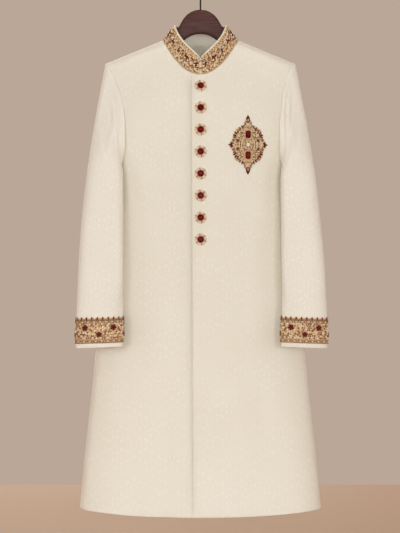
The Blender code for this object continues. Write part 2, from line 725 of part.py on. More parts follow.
def outward_frame(x, z, out):
    """Placement with local Z along the front's outward normal and local Y upward."""
    place, normal = body_frame(x, z)
    axis_z = Vector(normal)
    axis_x = Vector((0, 0, 1)).cross(axis_z).normalized()
    axis_y = axis_z.cross(axis_x)
    rotation = Matrix((axis_x, axis_y, axis_z)).transposed().to_4x4()
    return Matrix.Translation(Vector(place) + axis_z * out) @ rotation


def buttons(metal, ruby):
    setting = turned("button_setting", SETTING_PROFILE)
    stone = turned("button_stone", STONE_PROFILE)
    for index in range(BUTTONS):
        place = outward_frame(BUTTON_X, BUTTON_TOP_Z - index * BUTTON_PITCH, SEAM_GAP)
        turned_object(f"button_{index + 1}_setting", setting, BUTTON_SIDES["setting"], place, metal)
        turned_object(f"button_{index + 1}_stone", stone, BUTTON_SIDES["stone"], place, ruby)


def lozenge(angle):
    """Lobed diamond outline, as a share of the half width and half height."""
    across, upward = math.cos(angle), math.sin(angle)
    degrees = math.degrees(math.atan2(abs(upward), abs(across)))
    reach = float(np.interp(degrees, *zip(*MEDALLION_OUTLINE)))
    return across * reach, upward * reach


def medallion(finish, ruby, pearl):
    """Embroidered diamond patch on the left chest, with two stones and a pearl on it."""
    angles = [2 * math.pi * step / MEDALLION_POINTS for step in range(MEDALLION_POINTS)]

    def ring(share, out):
        loop = []
        for angle in angles:
            across, upward = lozenge(angle)
            place, normal = body_frame(MEDALLION["x"] + MEDALLION["half_width"] * across * share,
                                       MEDALLION["z"] + MEDALLION["half_height"] * upward * share)
            loop.append(place + normal * out)
        return loop

    top = PATCH_GAP + PATCH_THICKNESS
    under = [ring(share, PATCH_GAP) for share in MEDALLION_UNDER_RINGS]
    upper = [ring(1.0, top - PATCH_THICKNESS / 3)] + [ring(share, top) for share in MEDALLION_UPPER_RINGS]
    built = bmesh.new()
    loops = [[built.verts.new(place) for place in loop] for loop in under + upper]
    for lower, higher in zip(loops, loops[1:]):
        for step in range(MEDALLION_POINTS):
            after = (step + 1) % MEDALLION_POINTS
            built.faces.new((lower[step], lower[after], higher[after], higher[step]))
    for loop in (loops[0], loops[-1]):
        middle = built.verts.new(sum((vert.co for vert in loop), Vector()) / MEDALLION_POINTS)
        for step in range(MEDALLION_POINTS):
            built.faces.new((loop[step], loop[(step + 1) % MEDALLION_POINTS], middle))
    finished("medallion", built, finish)
    for gem in GEMS:
        out = top + SEAM_GAP + gem.half_depth
        place = outward_frame(MEDALLION["x"], MEDALLION["z"] + gem.rise, out)
        ball = bmesh.new()
        scale = Matrix.Diagonal((gem.half_width, gem.half_height, gem.half_depth, 1.0))
        bmesh.ops.create_uvsphere(ball, u_segments=10, v_segments=6, radius=1.0, matrix=place @ scale)
        finished(gem.name, ball, pearl if gem.name.endswith("pearl") else ruby)


# ---------------------------------------------------------------- hanger
def hanger(finish):
    """Lofted wooden body: rounded upright sections from one arm's end to the other."""
    built = bmesh.new()
    stations = [(-row.x, row) for row in HANGER[:0:-1]] + [(row.x, row) for row in HANGER]
    loops = []
    for x, row in stations:
        middle, half_height = (row.top + row.bottom) / 2, (row.top - row.bottom) / 2
        loop = []
        for step in range(HANGER_SIDES):
            angle = 2 * math.pi * step / HANGER_SIDES
            across, upward = math.cos(angle), math.sin(angle)
            across = math.copysign(abs(across) ** HANGER_ROUNDNESS, across)
            upward = math.copysign(abs(upward) ** HANGER_ROUNDNESS, upward)
            loop.append(built.verts.new((x, row.half_thickness * across, middle + half_height * upward)))
        loops.append(loop)
    for first, second in zip(loops, loops[1:]):
        for step in range(HANGER_SIDES):
            after = (step + 1) % HANGER_SIDES
            built.faces.new((first[step], first[after], second[after], second[step]))
    built.faces.new(loops[0])
    built.faces.new(loops[-1])
    finished("hanger", built, finish)


def hook(finish):
    """Swan-neck wire hook; the underside of its top is the origin."""
    bend_z = HOOK_WIRE - HOOK_BEND
    stem_foot = HANGER_TOP_Z + SEAM_GAP
    route = [(0, 0, z) for z in (stem_foot, *HOOK_STEM_Z)]
    neck_end = bend_z - HOOK_NECK_GAP
    for step in range(HOOK_NECK_STEPS + 1):
        share = step / HOOK_NECK_STEPS
        z = HOOK_NECK_Z + (neck_end - HOOK_NECK_Z) * share
        route.append((-HOOK_BEND * ease(share) * HOOK_NECK_REACH, 0, z))
    for step in range(HOOK_BEND_STEPS + 1):
        angle = math.radians(180 - HOOK_TURN * step / HOOK_BEND_STEPS)
        route.append((HOOK_BEND * math.cos(angle), 0, bend_z + HOOK_BEND * math.sin(angle)))
    tube("hanger_hook", route, HOOK_WIRE, finish)


# ---------------------------------------------------------------- the whole coat
def build():
    ivory = material("ivory_brocade", (0.80, 0.72, 0.60), 0.72)
    gold_work = material("gold_embroidery", (0.55, 0.34, 0.17), 0.55, 0.25)
    piping_cloth = material("cream_piping", (0.86, 0.76, 0.60), 0.6)
    gold = material("antique_gold", (0.62, 0.42, 0.20), 0.35, 0.8)
    ruby = material("ruby_glass", (0.20, 0.004, 0.008), 0.12)
    pearl = material("pearl", (0.86, 0.82, 0.76), 0.25)
    wood = material("dark_wood", (0.080, 0.030, 0.026), 0.45)
    metal = material("dark_metal", (0.05, 0.04, 0.038), 0.35, 0.9)

    seam_x = SEAM_GAP / 2
    panels = {}
    panels["front_left"] = body_panel("front_left", "left", "front", LAP_TOP_X, LAP_HEM_X, ivory)
    panels["front_right"] = body_panel(
        "front_right", "right", "front", -UNDERLAP_X, -UNDERLAP_X, ivory, UNDERLAP_RISE
    )
    panels["back_left"] = body_panel("back_left", "left", "back", seam_x, seam_x, ivory)
    panels["back_right"] = body_panel("back_right", "right", "back", seam_x, seam_x, ivory)
    for side in SIDES:
        outer, normals = sleeve(side, panels["front_" + side], panels["back_" + side], ivory)
        band_on_sleeve(side, outer, normals, gold_work)
    collar_piping(*collar(gold_work), piping_cloth)
    buttons(gold, ruby)
    medallion(gold_work, ruby, pearl)
    hanger(wood)
    hook(metal)


remove_everything()
COLLECTION = bpy.data.collections.new("sherwani_coat")
bpy.context.scene.collection.children.link(COLLECTION)
build()
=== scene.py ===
"""Looks of an ivory sherwani coat on its wooden hanger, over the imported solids."""

import math
import random

import bmesh
import bpy
import numpy as np
from mathutils import Matrix, Vector


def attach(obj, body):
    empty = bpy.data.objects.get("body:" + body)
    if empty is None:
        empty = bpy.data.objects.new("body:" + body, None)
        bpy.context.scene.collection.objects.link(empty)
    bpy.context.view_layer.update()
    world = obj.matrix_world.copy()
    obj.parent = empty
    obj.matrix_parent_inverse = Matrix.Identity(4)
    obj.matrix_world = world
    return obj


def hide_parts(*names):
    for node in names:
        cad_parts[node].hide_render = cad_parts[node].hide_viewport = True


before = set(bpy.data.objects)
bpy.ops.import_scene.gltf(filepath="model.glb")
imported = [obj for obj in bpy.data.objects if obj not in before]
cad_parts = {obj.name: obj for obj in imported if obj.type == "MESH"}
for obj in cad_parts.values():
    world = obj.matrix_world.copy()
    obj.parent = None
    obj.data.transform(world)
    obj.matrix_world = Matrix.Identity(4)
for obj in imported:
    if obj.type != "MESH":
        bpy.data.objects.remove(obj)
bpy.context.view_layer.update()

# ---------------------------------------------------------------- sizes shared with the solids, in metres
WALL = 0.0016
COLLAR_WALL = 0.0024
BAND_WALL = 0.0014
SEAM_GAP = 0.0003
OVERLAP_GAP = 0.0006
NECK_X, NECK_Z, NECK_FRONT_Z, NECK_BACK_Z = 0.0890, -0.1490, -0.2340, -0.1550
SHOULDER_X, SHOULDER_Z = 0.2225, -0.2035
SHOULDER_SLOPE = (NECK_Z - SHOULDER_Z) / (SHOULDER_X - NECK_X)
HEM_SIDE_Z, HEM_FRONT_Z, HEM_BACK_Z = -1.2430, -1.2575, -1.2530
LAP_TOP_X, LAP_HEM_X, UNDERLAP_X = -0.0197, -0.0150, 0.0180
UNDERLAP_RISE = (-0.052, -0.030)
SQUARENESS, ROLL_DROP, CHEST_DROP = 2.8, 0.020, 0.200
ROLL_SHARE = {"front": 0.36, "back": 0.46}
# Shallow waves that the skirt grows towards its hem: height, waves in a radian and start.
FLUTE_TOP_Z, FLUTE_DROP = -0.70, 0.60
FLUTES = {"front": ((0.0016, 31, 0.6), (0.0012, 47, 2.1)), "back": ((0.0032, 29, 1.9), (0.0018, 53, 0.4))}
COLLAR_TOP_X, COLLAR_TOP_Z, COLLAR_TOP_BACK_Z, COLLAR_TOP_FRONT_Z = 0.0615, -0.1140, -0.1175, -0.1945
COLLAR_TOP_FRONT_Y, COLLAR_TOP_BACK_Y = -0.0530, 0.0400
COLLAR_CORNER = 0.0055
PIPING_RADIUS = 0.0009
COLLAR_END_X = PIPING_RADIUS * 2 + SEAM_GAP * 1.5
BUTTONS, BUTTON_X, BUTTON_TOP_Z, BUTTON_PITCH = 8, 0.0006, -0.2622, 0.0506
MEDALLION_X, MEDALLION_Z, MEDALLION_HALF_X, MEDALLION_HALF_Z = 0.1094, -0.3985, 0.0450, 0.0680
PATCH_GAP, PATCH_THICKNESS, STONE_Z = 0.0006, 0.0016, 0.0240
MEDALLION_REACH = (1.000, 0.880, 0.845, 0.840, 0.845, 0.780, 0.715, 0.710, 0.820, 1.000)    # every 10 degrees
HOOK_WIRE, HOOK_BEND, HANGER_TOP_Z = 0.0020, 0.0220, -0.0755
SLEEVE_TURN, CUFF_TILT = math.radians(35), 0.0018
BODY_CLEARANCE, UNDERARM_CLEARANCE = 0.004, 0.0060
CUFF_BAND_TOP, CUFF_BAND_BOTTOM = -0.7985, -0.8545
BAND_HEIGHT = CUFF_BAND_TOP - CUFF_BAND_BOTTOM
SIDES = {"left": 1, "right": -1}


def columns(names, *rows):
    """A table as one array for each named column."""
    return dict(zip(names.split(), np.array(rows, float).T))


BODY = columns(
    "z half_width front_depth back_depth",
    (-0.100, 0.2450, 0.0850, 0.0800),
    (-0.215, 0.2440, 0.0850, 0.0800),
    (-0.275, 0.2340, 0.0855, 0.0810),
    (-0.335, 0.2190, 0.0860, 0.0820),
    (-0.395, 0.2070, 0.0860, 0.0825),
    (-0.455, 0.2005, 0.0855, 0.0820),
    (-0.530, 0.2040, 0.0830, 0.0780),
    (-0.640, 0.2160, 0.0790, 0.0720),
    (-0.760, 0.2315, 0.0775, 0.0700),
    (-0.868, 0.2442, 0.0785, 0.0710),
    (-0.945, 0.2516, 0.0795, 0.0725),
    (-1.055, 0.2637, 0.0815, 0.0745),
    (-1.140, 0.2727, 0.0830, 0.0765),
    (-1.243, 0.2826, 0.0850, 0.0790),
    (-1.270, 0.2850, 0.0855, 0.0795),
)
ARMHOLE = columns(
    "drop left_front right_front back",
    (0.0000, 0.2225, 0.2225, 0.2225),
    (0.0012, 0.2213, 0.2216, 0.2222),
    (0.0050, 0.2175, 0.2190, 0.2212),
    (0.0125, 0.2105, 0.2135, 0.2190),
    (0.0260, 0.2045, 0.2055, 0.2155),
    (0.0500, 0.1975, 0.1945, 0.2095),
    (0.0850, 0.1898, 0.1825, 0.2025),
    (0.1250, 0.1850, 0.1752, 0.1970),
    (0.1650, 0.1833, 0.1742, 0.1945),
    (0.2000, 0.1836, 0.1748, 0.1942),
    (0.2280, 0.1865, 0.1795, 0.1950),
    (0.2445, 0.1925, 0.1885, 0.1965),
    (0.2515, 0.2005, 0.2005, 0.2005),
)
SLEEVE = columns(
    "z left_outer left_inner right_outer right_inner middle_y front back",
    (-0.470, 0.2670, 0.1840, 0.2643, 0.1757, -0.045, 0.049, 0.082),
    (-0.556, 0.2763, 0.1862, 0.2737, 0.1775, -0.059, 0.042, 0.067),
    (-0.650, 0.2851, 0.1867, 0.2801, 0.1775, -0.072, 0.034, 0.050),
    (-0.755, 0.2904, 0.1876, 0.2845, 0.1775, -0.083, 0.027, 0.034),
    (-0.800, 0.2918, 0.1866, 0.2860, 0.1776, -0.087, 0.025, 0.030),
    (-0.864, 0.2925, 0.1852, 0.2873, 0.1784, -0.092, 0.023, 0.026),
)
HANGER = columns(
    "x top bottom half_thickness",
    (0.0000, -0.0755, -0.1330, 0.0065),
    (0.0110, -0.0768, -0.1338, 0.0065),
    (0.0220, -0.0812, -0.1372, 0.0065),
    (0.0320, -0.0878, -0.1434, 0.0065),
    (0.0400, -0.0970, -0.1500, 0.0065),
    (0.0465, -0.1080, -0.1550, 0.0066),
    (0.0515, -0.1172, -0.1590, 0.0067),
    (0.0590, -0.1190, -0.1640, 0.0068),
    (0.0700, -0.1345, -0.1705, 0.0070),
    (0.0860, -0.1524, -0.1790, 0.0075),
    (0.0920, -0.1534, -0.1815, 0.0080),
    (0.1200, -0.1642, -0.1925, 0.0100),
    (0.1600, -0.1804, -0.2085, 0.0130),
    (0.1950, -0.1947, -0.2215, 0.0150),
    (0.2080, -0.2008, -0.2240, 0.0135),
    (0.2140, -0.2060, -0.2200, 0.0085),
)

# ---------------------------------------------------------------- how finely the cloth is made
ARMHOLE_SPLIT = 4           # rows for each step of the armhole table
ARMHOLE_ROWS = (len(ARMHOLE["drop"]) - 1) * ARMHOLE_SPLIT + 1
SIDE_ROWS = 150
NECK_COLUMNS = 22
SHOULDER_COLUMNS = 28
HEAD_ROWS = 44
SLEEVE_ROWS = 76
SHARP_EDGE = 50             # degrees


# ---------------------------------------------------------------- small tools
def ease(share):
    share = np.clip(share, 0.0, 1.0)
    return share * share * (3 - 2 * share)


def hermite(start, start_pull, end, end_pull, share):
    square, cube = share ** 2, share ** 3
    return (start * (2 * cube - 3 * square + 1) + start_pull * (cube - 2 * square + share)
            + end * (3 * square - 2 * cube) + end_pull * (cube - square))


def along_curve(places, values, at):
    """Values at places between the known ones, on a smooth curve through them."""
    slopes = np.gradient(values, places)
    at = np.clip(at, places[0], places[-1])
    low = np.clip(np.searchsorted(places, at, side="right") - 1, 0, len(places) - 2)
    step = places[low + 1] - places[low]
    share = (at - places[low]) / step
    return hermite(values[low], slopes[low] * step, values[low + 1], slopes[low + 1] * step, share)


def read_table(table, column, z):
    return along_curve(-table["z"], table[column], -np.asarray(z, float))


def between(at, known, points):
    """Points at places along a line, from its known ones."""
    return np.stack([np.interp(at, known, axis) for axis in points.T], axis=-1)


def polar(reach, angle):
    """Across and up of what is so far away at an angle."""
    return reach * np.cos(angle), reach * np.sin(angle)


def rounds(count):
    """Angles that share a full turn."""
    return 2 * np.pi * np.arange(count) / count


def unit(vectors):
    return vectors / np.maximum(np.linalg.norm(vectors, axis=-1, keepdims=True), 1e-12)


def grid_normals(grid, wraps, toward):
    down = np.gradient(grid, axis=0)
    if wraps:
        across = (np.roll(grid, -1, axis=1) - np.roll(grid, 1, axis=1)) / 2
    else:
        across = np.gradient(grid, axis=1)
    normals = unit(np.cross(down, across))
    return normals * np.sign(np.mean(np.sum(normals * toward, axis=-1)))


def arc_lengths(points, axis=0):
    steps = np.linalg.norm(np.diff(points, axis=axis), axis=-1)
    start = np.zeros_like(np.take(steps, [0], axis=axis))
    return np.concatenate((start, np.cumsum(steps, axis=axis)), axis=axis)


def rows_of(names, *rows):
    """Rows of a table whose columns are named; every row holds them all."""
    assert all(len(row) == len(names.split()) for row in rows)
    return rows


def ring_faces(rings, sides, closed=False):
    """Faces between rings of points; both ends are capped, unless the last ring is closed onto the first."""
    faces = []
    for ring in range(rings if closed else rings - 1):
        low, high = ring * sides, (ring + 1) % rings * sides
        for step in range(sides):
            after = (step + 1) % sides
            faces.append((low + step, low + after, high + after, high + step))
    if not closed:
        faces += [tuple(range(sides)), tuple(range((rings - 1) * sides, rings * sides))]
    return faces


def mesh_object(name, points, faces, materials, uvs=None, tones=None, matrix=None, sharp=SHARP_EDGE):
    """Object from arrays; uvs holds a place for each corner of each face, tones a material for each face."""
    mesh = bpy.data.meshes.new(name)
    mesh.from_pydata(np.asarray(points).tolist(), [], faces)
    if uvs is not None:
        layer = mesh.uv_layers.new(name="metres")
        layer.data.foreach_set("uv", np.asarray(uvs, np.float32).ravel())
    for item in materials:
        mesh.materials.append(item)
    if tones is not None:
        mesh.polygons.foreach_set("material_index", np.asarray(tones, np.int32))
    form = bmesh.new()
    form.from_mesh(mesh)
    bmesh.ops.recalc_face_normals(form, faces=form.faces)
    if form.calc_volume(signed=True) < 0:
        bmesh.ops.reverse_faces(form, faces=form.faces)
    form.to_mesh(mesh)
    form.free()
    mesh.shade_smooth()
    mesh.set_sharp_from_angle(angle=math.radians(sharp))
    if matrix:
        mesh.transform(matrix)
    made = bpy.data.objects.new(name, mesh)
    bpy.context.scene.collection.objects.link(made)
    return made


def dress(piece, slot, *nodes):
    """The piece rides with the coat and stands for CAD nodes, which it hides; slot is not used."""
    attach(piece, "root")
    if nodes:
        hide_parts(*nodes)


# ---------------------------------------------------------------- node shorthand for materials
class Wire:
    """A node's output; sums, products and other operations on it add nodes of their own."""

    def __init__(self, finish, socket):
        self.finish, self.socket = finish, socket

    def op(self, operation, *others, clamp=False):
        inputs = dict(enumerate((self, *others)))
        return self.finish.node("Math", 0, inputs, operation=operation, use_clamp=clamp)

    def __add__(self, other):
        return self.op("ADD", other)

    def __sub__(self, other):
        return self.op("SUBTRACT", other)

    def __mul__(self, other):
        return self.op("MULTIPLY", other)

    def __truediv__(self, other):
        return self.op("DIVIDE", other)

    def rest(self):
        """What is missing to 1."""
        return self.finish.node("Math", 0, {0: 1.0, 1: self}, operation="SUBTRACT")

    def wave(self, pitch):
        return (self * (2 * math.pi / pitch)).op("SINE")

    def remap(self, low, high, to_low, to_high, smooth=False):
        inputs = dict(enumerate((self, low, high, to_low, to_high)))
        return self.finish.node("MapRange", 0, inputs, interpolation_type="SMOOTHSTEP" if smooth else "LINEAR")


class Finish:
    """A material and short ways to add its nodes."""

    def __init__(self, name, tint, roughness, metallic=0.0, **fixed):
        self.material = bpy.data.materials.new(name)
        self.material.use_nodes = True
        self.tree = self.material.node_tree
        self.shader = self.tree.nodes["Principled BSDF"]
        self.relief = None
        self.set(Base_Color=(*tint, 1.0), Roughness=roughness, Metallic=metallic, **fixed)

    def node(self, kind, output, inputs, **settings):
        """A new node's output; its inputs are wires or numbers, or None to leave one alone."""
        made = self.tree.nodes.new("ShaderNode" + kind)
        for name, value in settings.items():
            setattr(made, name, value)
        for name, value in inputs.items():
            self.join(value, made.inputs[name])
        return Wire(self, made.outputs[output])

    def join(self, value, target):
        if isinstance(value, Wire):
            self.tree.links.new(value.socket, target)
        elif value is not None:
            target.default_value = value

    def set(self, **inputs):
        for name, value in inputs.items():
            self.join(value, self.shader.inputs[name.replace("_", " ")])

    def uv(self):
        """The cloth's own places across and along, in metres."""
        across = self.node("SeparateXYZ", 0, {0: self.node("UVMap", 0, {}, uv_map="metres")})
        return across, Wire(self, across.socket.node.outputs[1])

    def noise(self, scale, detail=2.0, rough=0.5, vector=None):
        vector = vector or self.node("TexCoord", "Object", {})
        inputs = {"Scale": scale, "Detail": detail, "Roughness": rough, "Vector": vector}
        return self.node("TexNoise", 0, inputs)

    def slub(self, u, v, across, along):
        """Uneven thickness of the threads, in streaks."""
        return self.noise(1.0, 2, 0.6, self.node("CombineXYZ", 0, {0: u * across, 1: v * along}))

    def tone(self, factor, dark, light):
        """Base colour between two; 6 and 7 are the colour inputs of a mix node, and 2 its colour output."""
        inputs = {0: factor, 6: (*dark, 1.0), 7: (*light, 1.0)}
        self.set(Base_Color=self.node("Mix", 2, inputs, data_type="RGBA"))

    def bump(self, height, distance, strength):
        """Relief on top of the relief there is."""
        inputs = {"Height": height, "Distance": distance, "Strength": strength, "Normal": self.relief}
        self.relief = self.node("Bump", 0, inputs)
        self.set(Normal=self.relief)


def colour(red, green, blue):
    """Linear colour from 0 to 255 display values, all over 10."""
    return tuple(((value / 255 + 0.055) / 1.055) ** 2.4 for value in (red, green, blue))


def shade(tint, red, green=None, blue=None):
    """A colour times a share, or times one each for red, green and blue."""
    shares = (red, green or red, blue or red)
    return tuple(value * share for value, share in zip(tint, shares))


# ---------------------------------------------------------------- materials
REPEAT_U, REPEAT_V = 0.044, 0.052
# One repeat of the brocade, in metres from its flower; each leaf has its twin on the other side.
BROCADE_LEAVES = rows_of(
    "across up turn half_length half_width",
    (0.0152, 0.0100, 0.75, 0.0080, 0.0040), (0.0150, -0.0108, -0.60, 0.0078, 0.0039),
    (0.0050, 0.0190, 1.20, 0.0064, 0.0033), (0.0060, -0.0190, -1.00, 0.0062, 0.0032),
)
FLOWER_HOLLOW, FLOWER_PETAL, STEM_RING = 0.0050, 0.0036, 0.0200
WARP_PITCH, WEFT_PITCH, RIB_PITCH = 0.00075, 0.00062, 0.0005


def ellipse_mask(p, q, turn, half_long, half_short):
    """1 inside a turned ellipse, 0 outside."""
    c, s = polar(1.0, turn)
    a = p * float(c / half_long) + q * float(s / half_long)
    b = q * float(c / half_short) - p * float(s / half_short)
    return (a * a + b * b).remap(0.55, 1.30, 1.0, 0.0, True)


def brocade(name, tint, repeat=1.0, contrast=1.0):
    """Ivory brocade: a tone-on-tone flower with leaves in a half-drop repeat, on a fine woven ground."""
    finish = Finish(name, tint, 0.62, Sheen_Weight=0.22, Sheen_Roughness=0.45, Specular_IOR_Level=0.35)
    u, v = finish.uv()
    wide, tall = REPEAT_U * repeat, REPEAT_V * repeat
    column = u / wide
    row = v / tall + column.op("FLOOR").op("ABSOLUTE").op("MODULO", 2.0) * 0.5
    p = (column.op("FRACT") - 0.5) * wide
    q = (row.op("FRACT") - 0.5) * tall
    radius = (p * p + q * q).op("SQRT")
    petals = (q.op("ARCTAN2", p) * 2.5).op("COSINE").op("ABSOLUTE")
    edge = petals * (FLOWER_PETAL * repeat) + FLOWER_HOLLOW * repeat
    flower = (radius / edge).remap(0.75, 1.10, 1.0, 0.0, True)
    heart = radius.remap(0.0014 * repeat, 0.0026 * repeat, 0.0, 1.0, True)
    stem = (radius - STEM_RING * repeat).op("ABSOLUTE").remap(0.0004, 0.0014, 0.7, 0.0, True)
    motif = (flower * heart).op("MAXIMUM", stem)
    aside = p.op("ABSOLUTE")
    for across, up, turn, long, short in BROCADE_LEAVES:
        leaf = ellipse_mask(aside - across * repeat, q - up * repeat, turn, long * repeat, short * repeat)
        motif = motif.op("MAXIMUM", leaf)
    soft = motif * finish.noise(22, 2).remap(0.35, 0.65, 0.15, 1.0)
    rim = soft * motif.rest()
    ground = finish.noise(9, 3) * 0.30 + (finish.noise(420, 2) * 0.20 + finish.slub(u, v, 60.0, 900.0) * 0.34)
    figure = soft * (0.20 * contrast) - rim * (1.10 * contrast)
    finish.tone(ground.op("ADD", figure, clamp=True), shade(tint, 0.885, 0.865, 0.820), shade(tint, 1.05))
    finish.set(Roughness=soft.remap(0, 1, 0.70, 0.46))
    finish.bump(soft, 0.00018, 0.7)
    finish.bump(u.wave(WARP_PITCH) * v.wave(WEFT_PITCH), 0.00004, 0.6)
    return finish.material


def lining_satin():
    """Plain satin lining: fine ribs and a soft shine. Its pale cream is partly its own colour and partly painted
    light, made paler to brighten the shaded inside of the neck.
    """
    tint = colour(255, 248, 230)
    finish = Finish("lining_satin", tint, 0.45, Sheen_Weight=0.10, Specular_IOR_Level=0.4)
    u, v = finish.uv()
    slub = finish.slub(u, v, 40.0, 700.0)
    finish.tone(slub, shade(tint, 0.93), tint)
    finish.set(Roughness=slub.remap(0.3, 0.7, 0.38, 0.54))
    finish.bump(v.wave(RIB_PITCH), 0.00003, 0.5)
    return finish.material


def ground_cloth(name, tint, dark):
    """Closely stitched ground under the embroidery: short couched threads in two tones."""
    finish = Finish(name, tint, 0.58, 0.12, Specular_IOR_Level=0.4)
    spot = finish.node("TexCoord", "Object", {})
    cells = finish.node("TexVoronoi", "Distance", {"Scale": 620, "Vector": spot})
    speck = finish.noise(260, 3, 0.65)
    finish.tone((cells * 0.5 + speck * 0.65).remap(0.30, 0.80, 0.0, 1.0, True), dark, tint)
    finish.bump(cells, 0.0003, 0.7)
    return finish.material


def thread(name, tint, metallic, roughness, pitch=0.00042, gloss=0.5):
    """Satin stitch: fine ridges across each leaf, uneven in tone."""
    finish = Finish(name, tint, roughness, metallic, Sheen_Weight=0.2 * gloss, Specular_IOR_Level=gloss)
    u, v = finish.uv()
    finish.tone(finish.noise(300, 2).remap(0.3, 0.7, 0.15, 1.0), shade(tint, 0.62), tint)
    finish.bump((u + v * 0.45).wave(pitch), 0.00008, 0.7)
    return finish.material


def bead(name, tint, metallic, roughness):
    finish = Finish(name, tint, roughness, metallic, Coat_Weight=0.4, Coat_Roughness=0.12)
    grain = finish.noise(180, 1)
    finish.tone(grain, shade(tint, 0.8), tint)
    finish.set(Roughness=grain.remap(0.3, 0.7, roughness * 0.8, roughness * 1.3))
    return finish.material


def ruby_glass():
    """Dark red glass, with nearly no glare."""
    light = (0.190, 0.002, 0.004)
    finish = Finish("ruby_glass", light, 0.30, Specular_IOR_Level=0.07)
    finish.tone(finish.noise(130, 1).remap(0.35, 0.65, 0.0, 1.0), (0.066, 0.001, 0.002), light)
    return finish.material


def dark_wood():
    """Stained hardwood under satin lacquer: long grain along the arms, fine pores."""
    light = (0.098, 0.031, 0.026)
    finish = Finish("dark_wood", light, 0.50, Coat_Weight=0.08, Coat_Roughness=0.35, Specular_IOR_Level=0.30)
    spot = finish.node("TexCoord", "Object", {})
    place = finish.node("Mapping", 0, {"Scale": (3.0, 26.0, 26.0), "Vector": spot})
    tone = finish.noise(7.0, 5, 0.6, place) * 0.75 + finish.noise(60.0, 2, 0.7, place) * 0.25
    finish.tone(tone.remap(0.35, 0.65, 0.0, 1.0), (0.046, 0.013, 0.011), light)
    finish.set(Roughness=tone.remap(0.3, 0.7, 0.60, 0.46))
    finish.bump(tone, 0.0002, 0.5)
    return finish.material


def dark_metal():
    light = (0.034, 0.028, 0.026)
    finish = Finish("dark_metal", light, 0.38, 0.60)
    wear = finish.noise(90, 3)
    finish.tone(wear.remap(0.45, 0.7, 0.0, 1.0), (0.012, 0.010, 0.010), light)
    finish.set(Roughness=wear.remap(0.3, 0.7, 0.28, 0.45))
    return finish.material


BROCADE = brocade("ivory_brocade", colour(234, 230, 219))
# The sleeves are the body's fabric; their lighter tint is painted light, for the light the sleeves catch. The
# finer repeat and stronger figure are the pattern.
SLEEVE_BROCADE_PAINTED_LIGHTER = brocade("ivory_brocade_sleeve_painted_lighter", colour(238, 234, 226), 0.92, 1.35)
LINING = lining_satin()
GROUND = ground_cloth("embroidery_ground", colour(222, 188, 146), colour(158, 114, 76))
PATCH_GROUND = ground_cloth("patch_ground", colour(228, 198, 158), colour(152, 110, 76))
THREADS = (
    thread("gold_thread", colour(234, 200, 150), 0.25, 0.42),
    thread("copper_thread", colour(156, 94, 58), 0.20, 0.48),
    thread("maroon_thread", colour(108, 30, 20), 0.0, 0.52, gloss=0.12),
    thread("cream_thread", colour(252, 238, 208), 0.0, 0.5),
    thread("umber_thread", colour(92, 42, 24), 0.0, 0.62, gloss=0.12),
)
TONE = {"gold": 0, "copper": 1, "maroon": 2, "cream": 3, "umber": 4}
PIPING = thread("cream_piping", colour(250, 240, 216), 0.0, 0.5, 0.0011)
GOLD_BEAD = bead("antique_gold", colour(236, 208, 174), 0.25, 0.42)
BRONZE_BEAD = bead("bronze_bead", colour(186, 142, 116), 0.25, 0.44)
CREAM_BEAD = bead("cream_bead", colour(244, 226, 204), 0.0, 0.40)
PEARL = bead("pearl", colour(244, 238, 226), 0.0, 0.22)
RUBY = ruby_glass()
WOOD = dark_wood()
METAL = dark_metal()


# ---------------------------------------------------------------- the coat's form, as in the solids
def shoulder_line(x):
    return NECK_Z - SHOULDER_SLOPE * (np.abs(x) - NECK_X)


def flute(x, z, face):
    growth = ease((FLUTE_TOP_Z - z) / FLUTE_DROP) ** 1.5
    return growth * sum(height * np.sin(waves * x + start) for height, waves, start in FLUTES[face])


def body_depth(x, z, face):
    share = np.minimum(np.abs(x) / read_table(BODY, "half_width", z), 1.0)
    full = read_table(BODY, face + "_depth", z)
    across = (1 - share ** SQUARENESS) ** (1 / SQUARENESS)
    drop = np.maximum(shoulder_line(x) - z, 0.0)
    crown = np.sqrt(1 - (1 - np.minimum(drop / ROLL_DROP, 1.0)) ** 2)
    roll = ROLL_SHARE[face]
    return (full + flute(x, z, face)) * across * (roll * crown + (1 - roll) * ease(drop / CHEST_DROP))


def body_points(x, z, face):
    depth = np.maximum(body_depth(x, z, face), SEAM_GAP / 2)
    return np.stack((x, -depth if face == "front" else depth, z), axis=-1)


def on_front(x, z):
    """Points and outward normals of the front at places in the front view."""
    step = 0.002
    across = body_points(x + step, z, "front") - body_points(x - step, z, "front")
    upward = body_points(x, z + step, "front") - body_points(x, z - step, "front")
    return body_points(x, z, "front"), unit(np.cross(across, upward))


# ---------------------------------------------------------------- creases
def crease_lift(across, along, creases):
    """Lift of soft troughs and ridges, each a bent line from start by middle to end, fading at both ends."""
    lift = np.zeros_like(across)
    steps = np.linspace(0, 1, 25)
    for *places, half_width, depth in creases:
        start, middle, end = np.reshape(places, (3, 2))
        line = (np.outer((1 - steps) ** 2, start) + np.outer(2 * steps * (1 - steps), middle)
                + np.outer(steps ** 2, end))
        near = np.full(across.shape, 1e9)
        share = np.zeros_like(across)
        side = np.zeros_like(across)
        for index, (a, run) in enumerate(zip(line, np.diff(line, axis=0))):
            t = np.clip(((across - a[0]) * run[0] + (along - a[1]) * run[1]) / (run @ run), 0, 1)
            off_x, off_y = across - a[0] - t * run[0], along - a[1] - t * run[1]
            distance = np.hypot(off_x, off_y)
            closer = distance < near
            near = np.where(closer, distance, near)
            share = np.where(closer, (index + t) / (len(steps) - 1), share)
            side = np.where(closer, np.sign(run[0] * off_y - run[1] * off_x), side)
        fade = np.sin(np.pi * share) ** 1.3
        reach = near / half_width
        bank = 0.55 * np.exp(-(reach - 1.7) ** 2 / 0.9) * np.where(side > 0, 1.0, 0.6)
        lift += depth * fade * (bank - np.exp(-reach ** 2))
    return lift


CREASE_COLUMNS = "x_start z_start x_middle z_middle x_end z_end half_width depth"
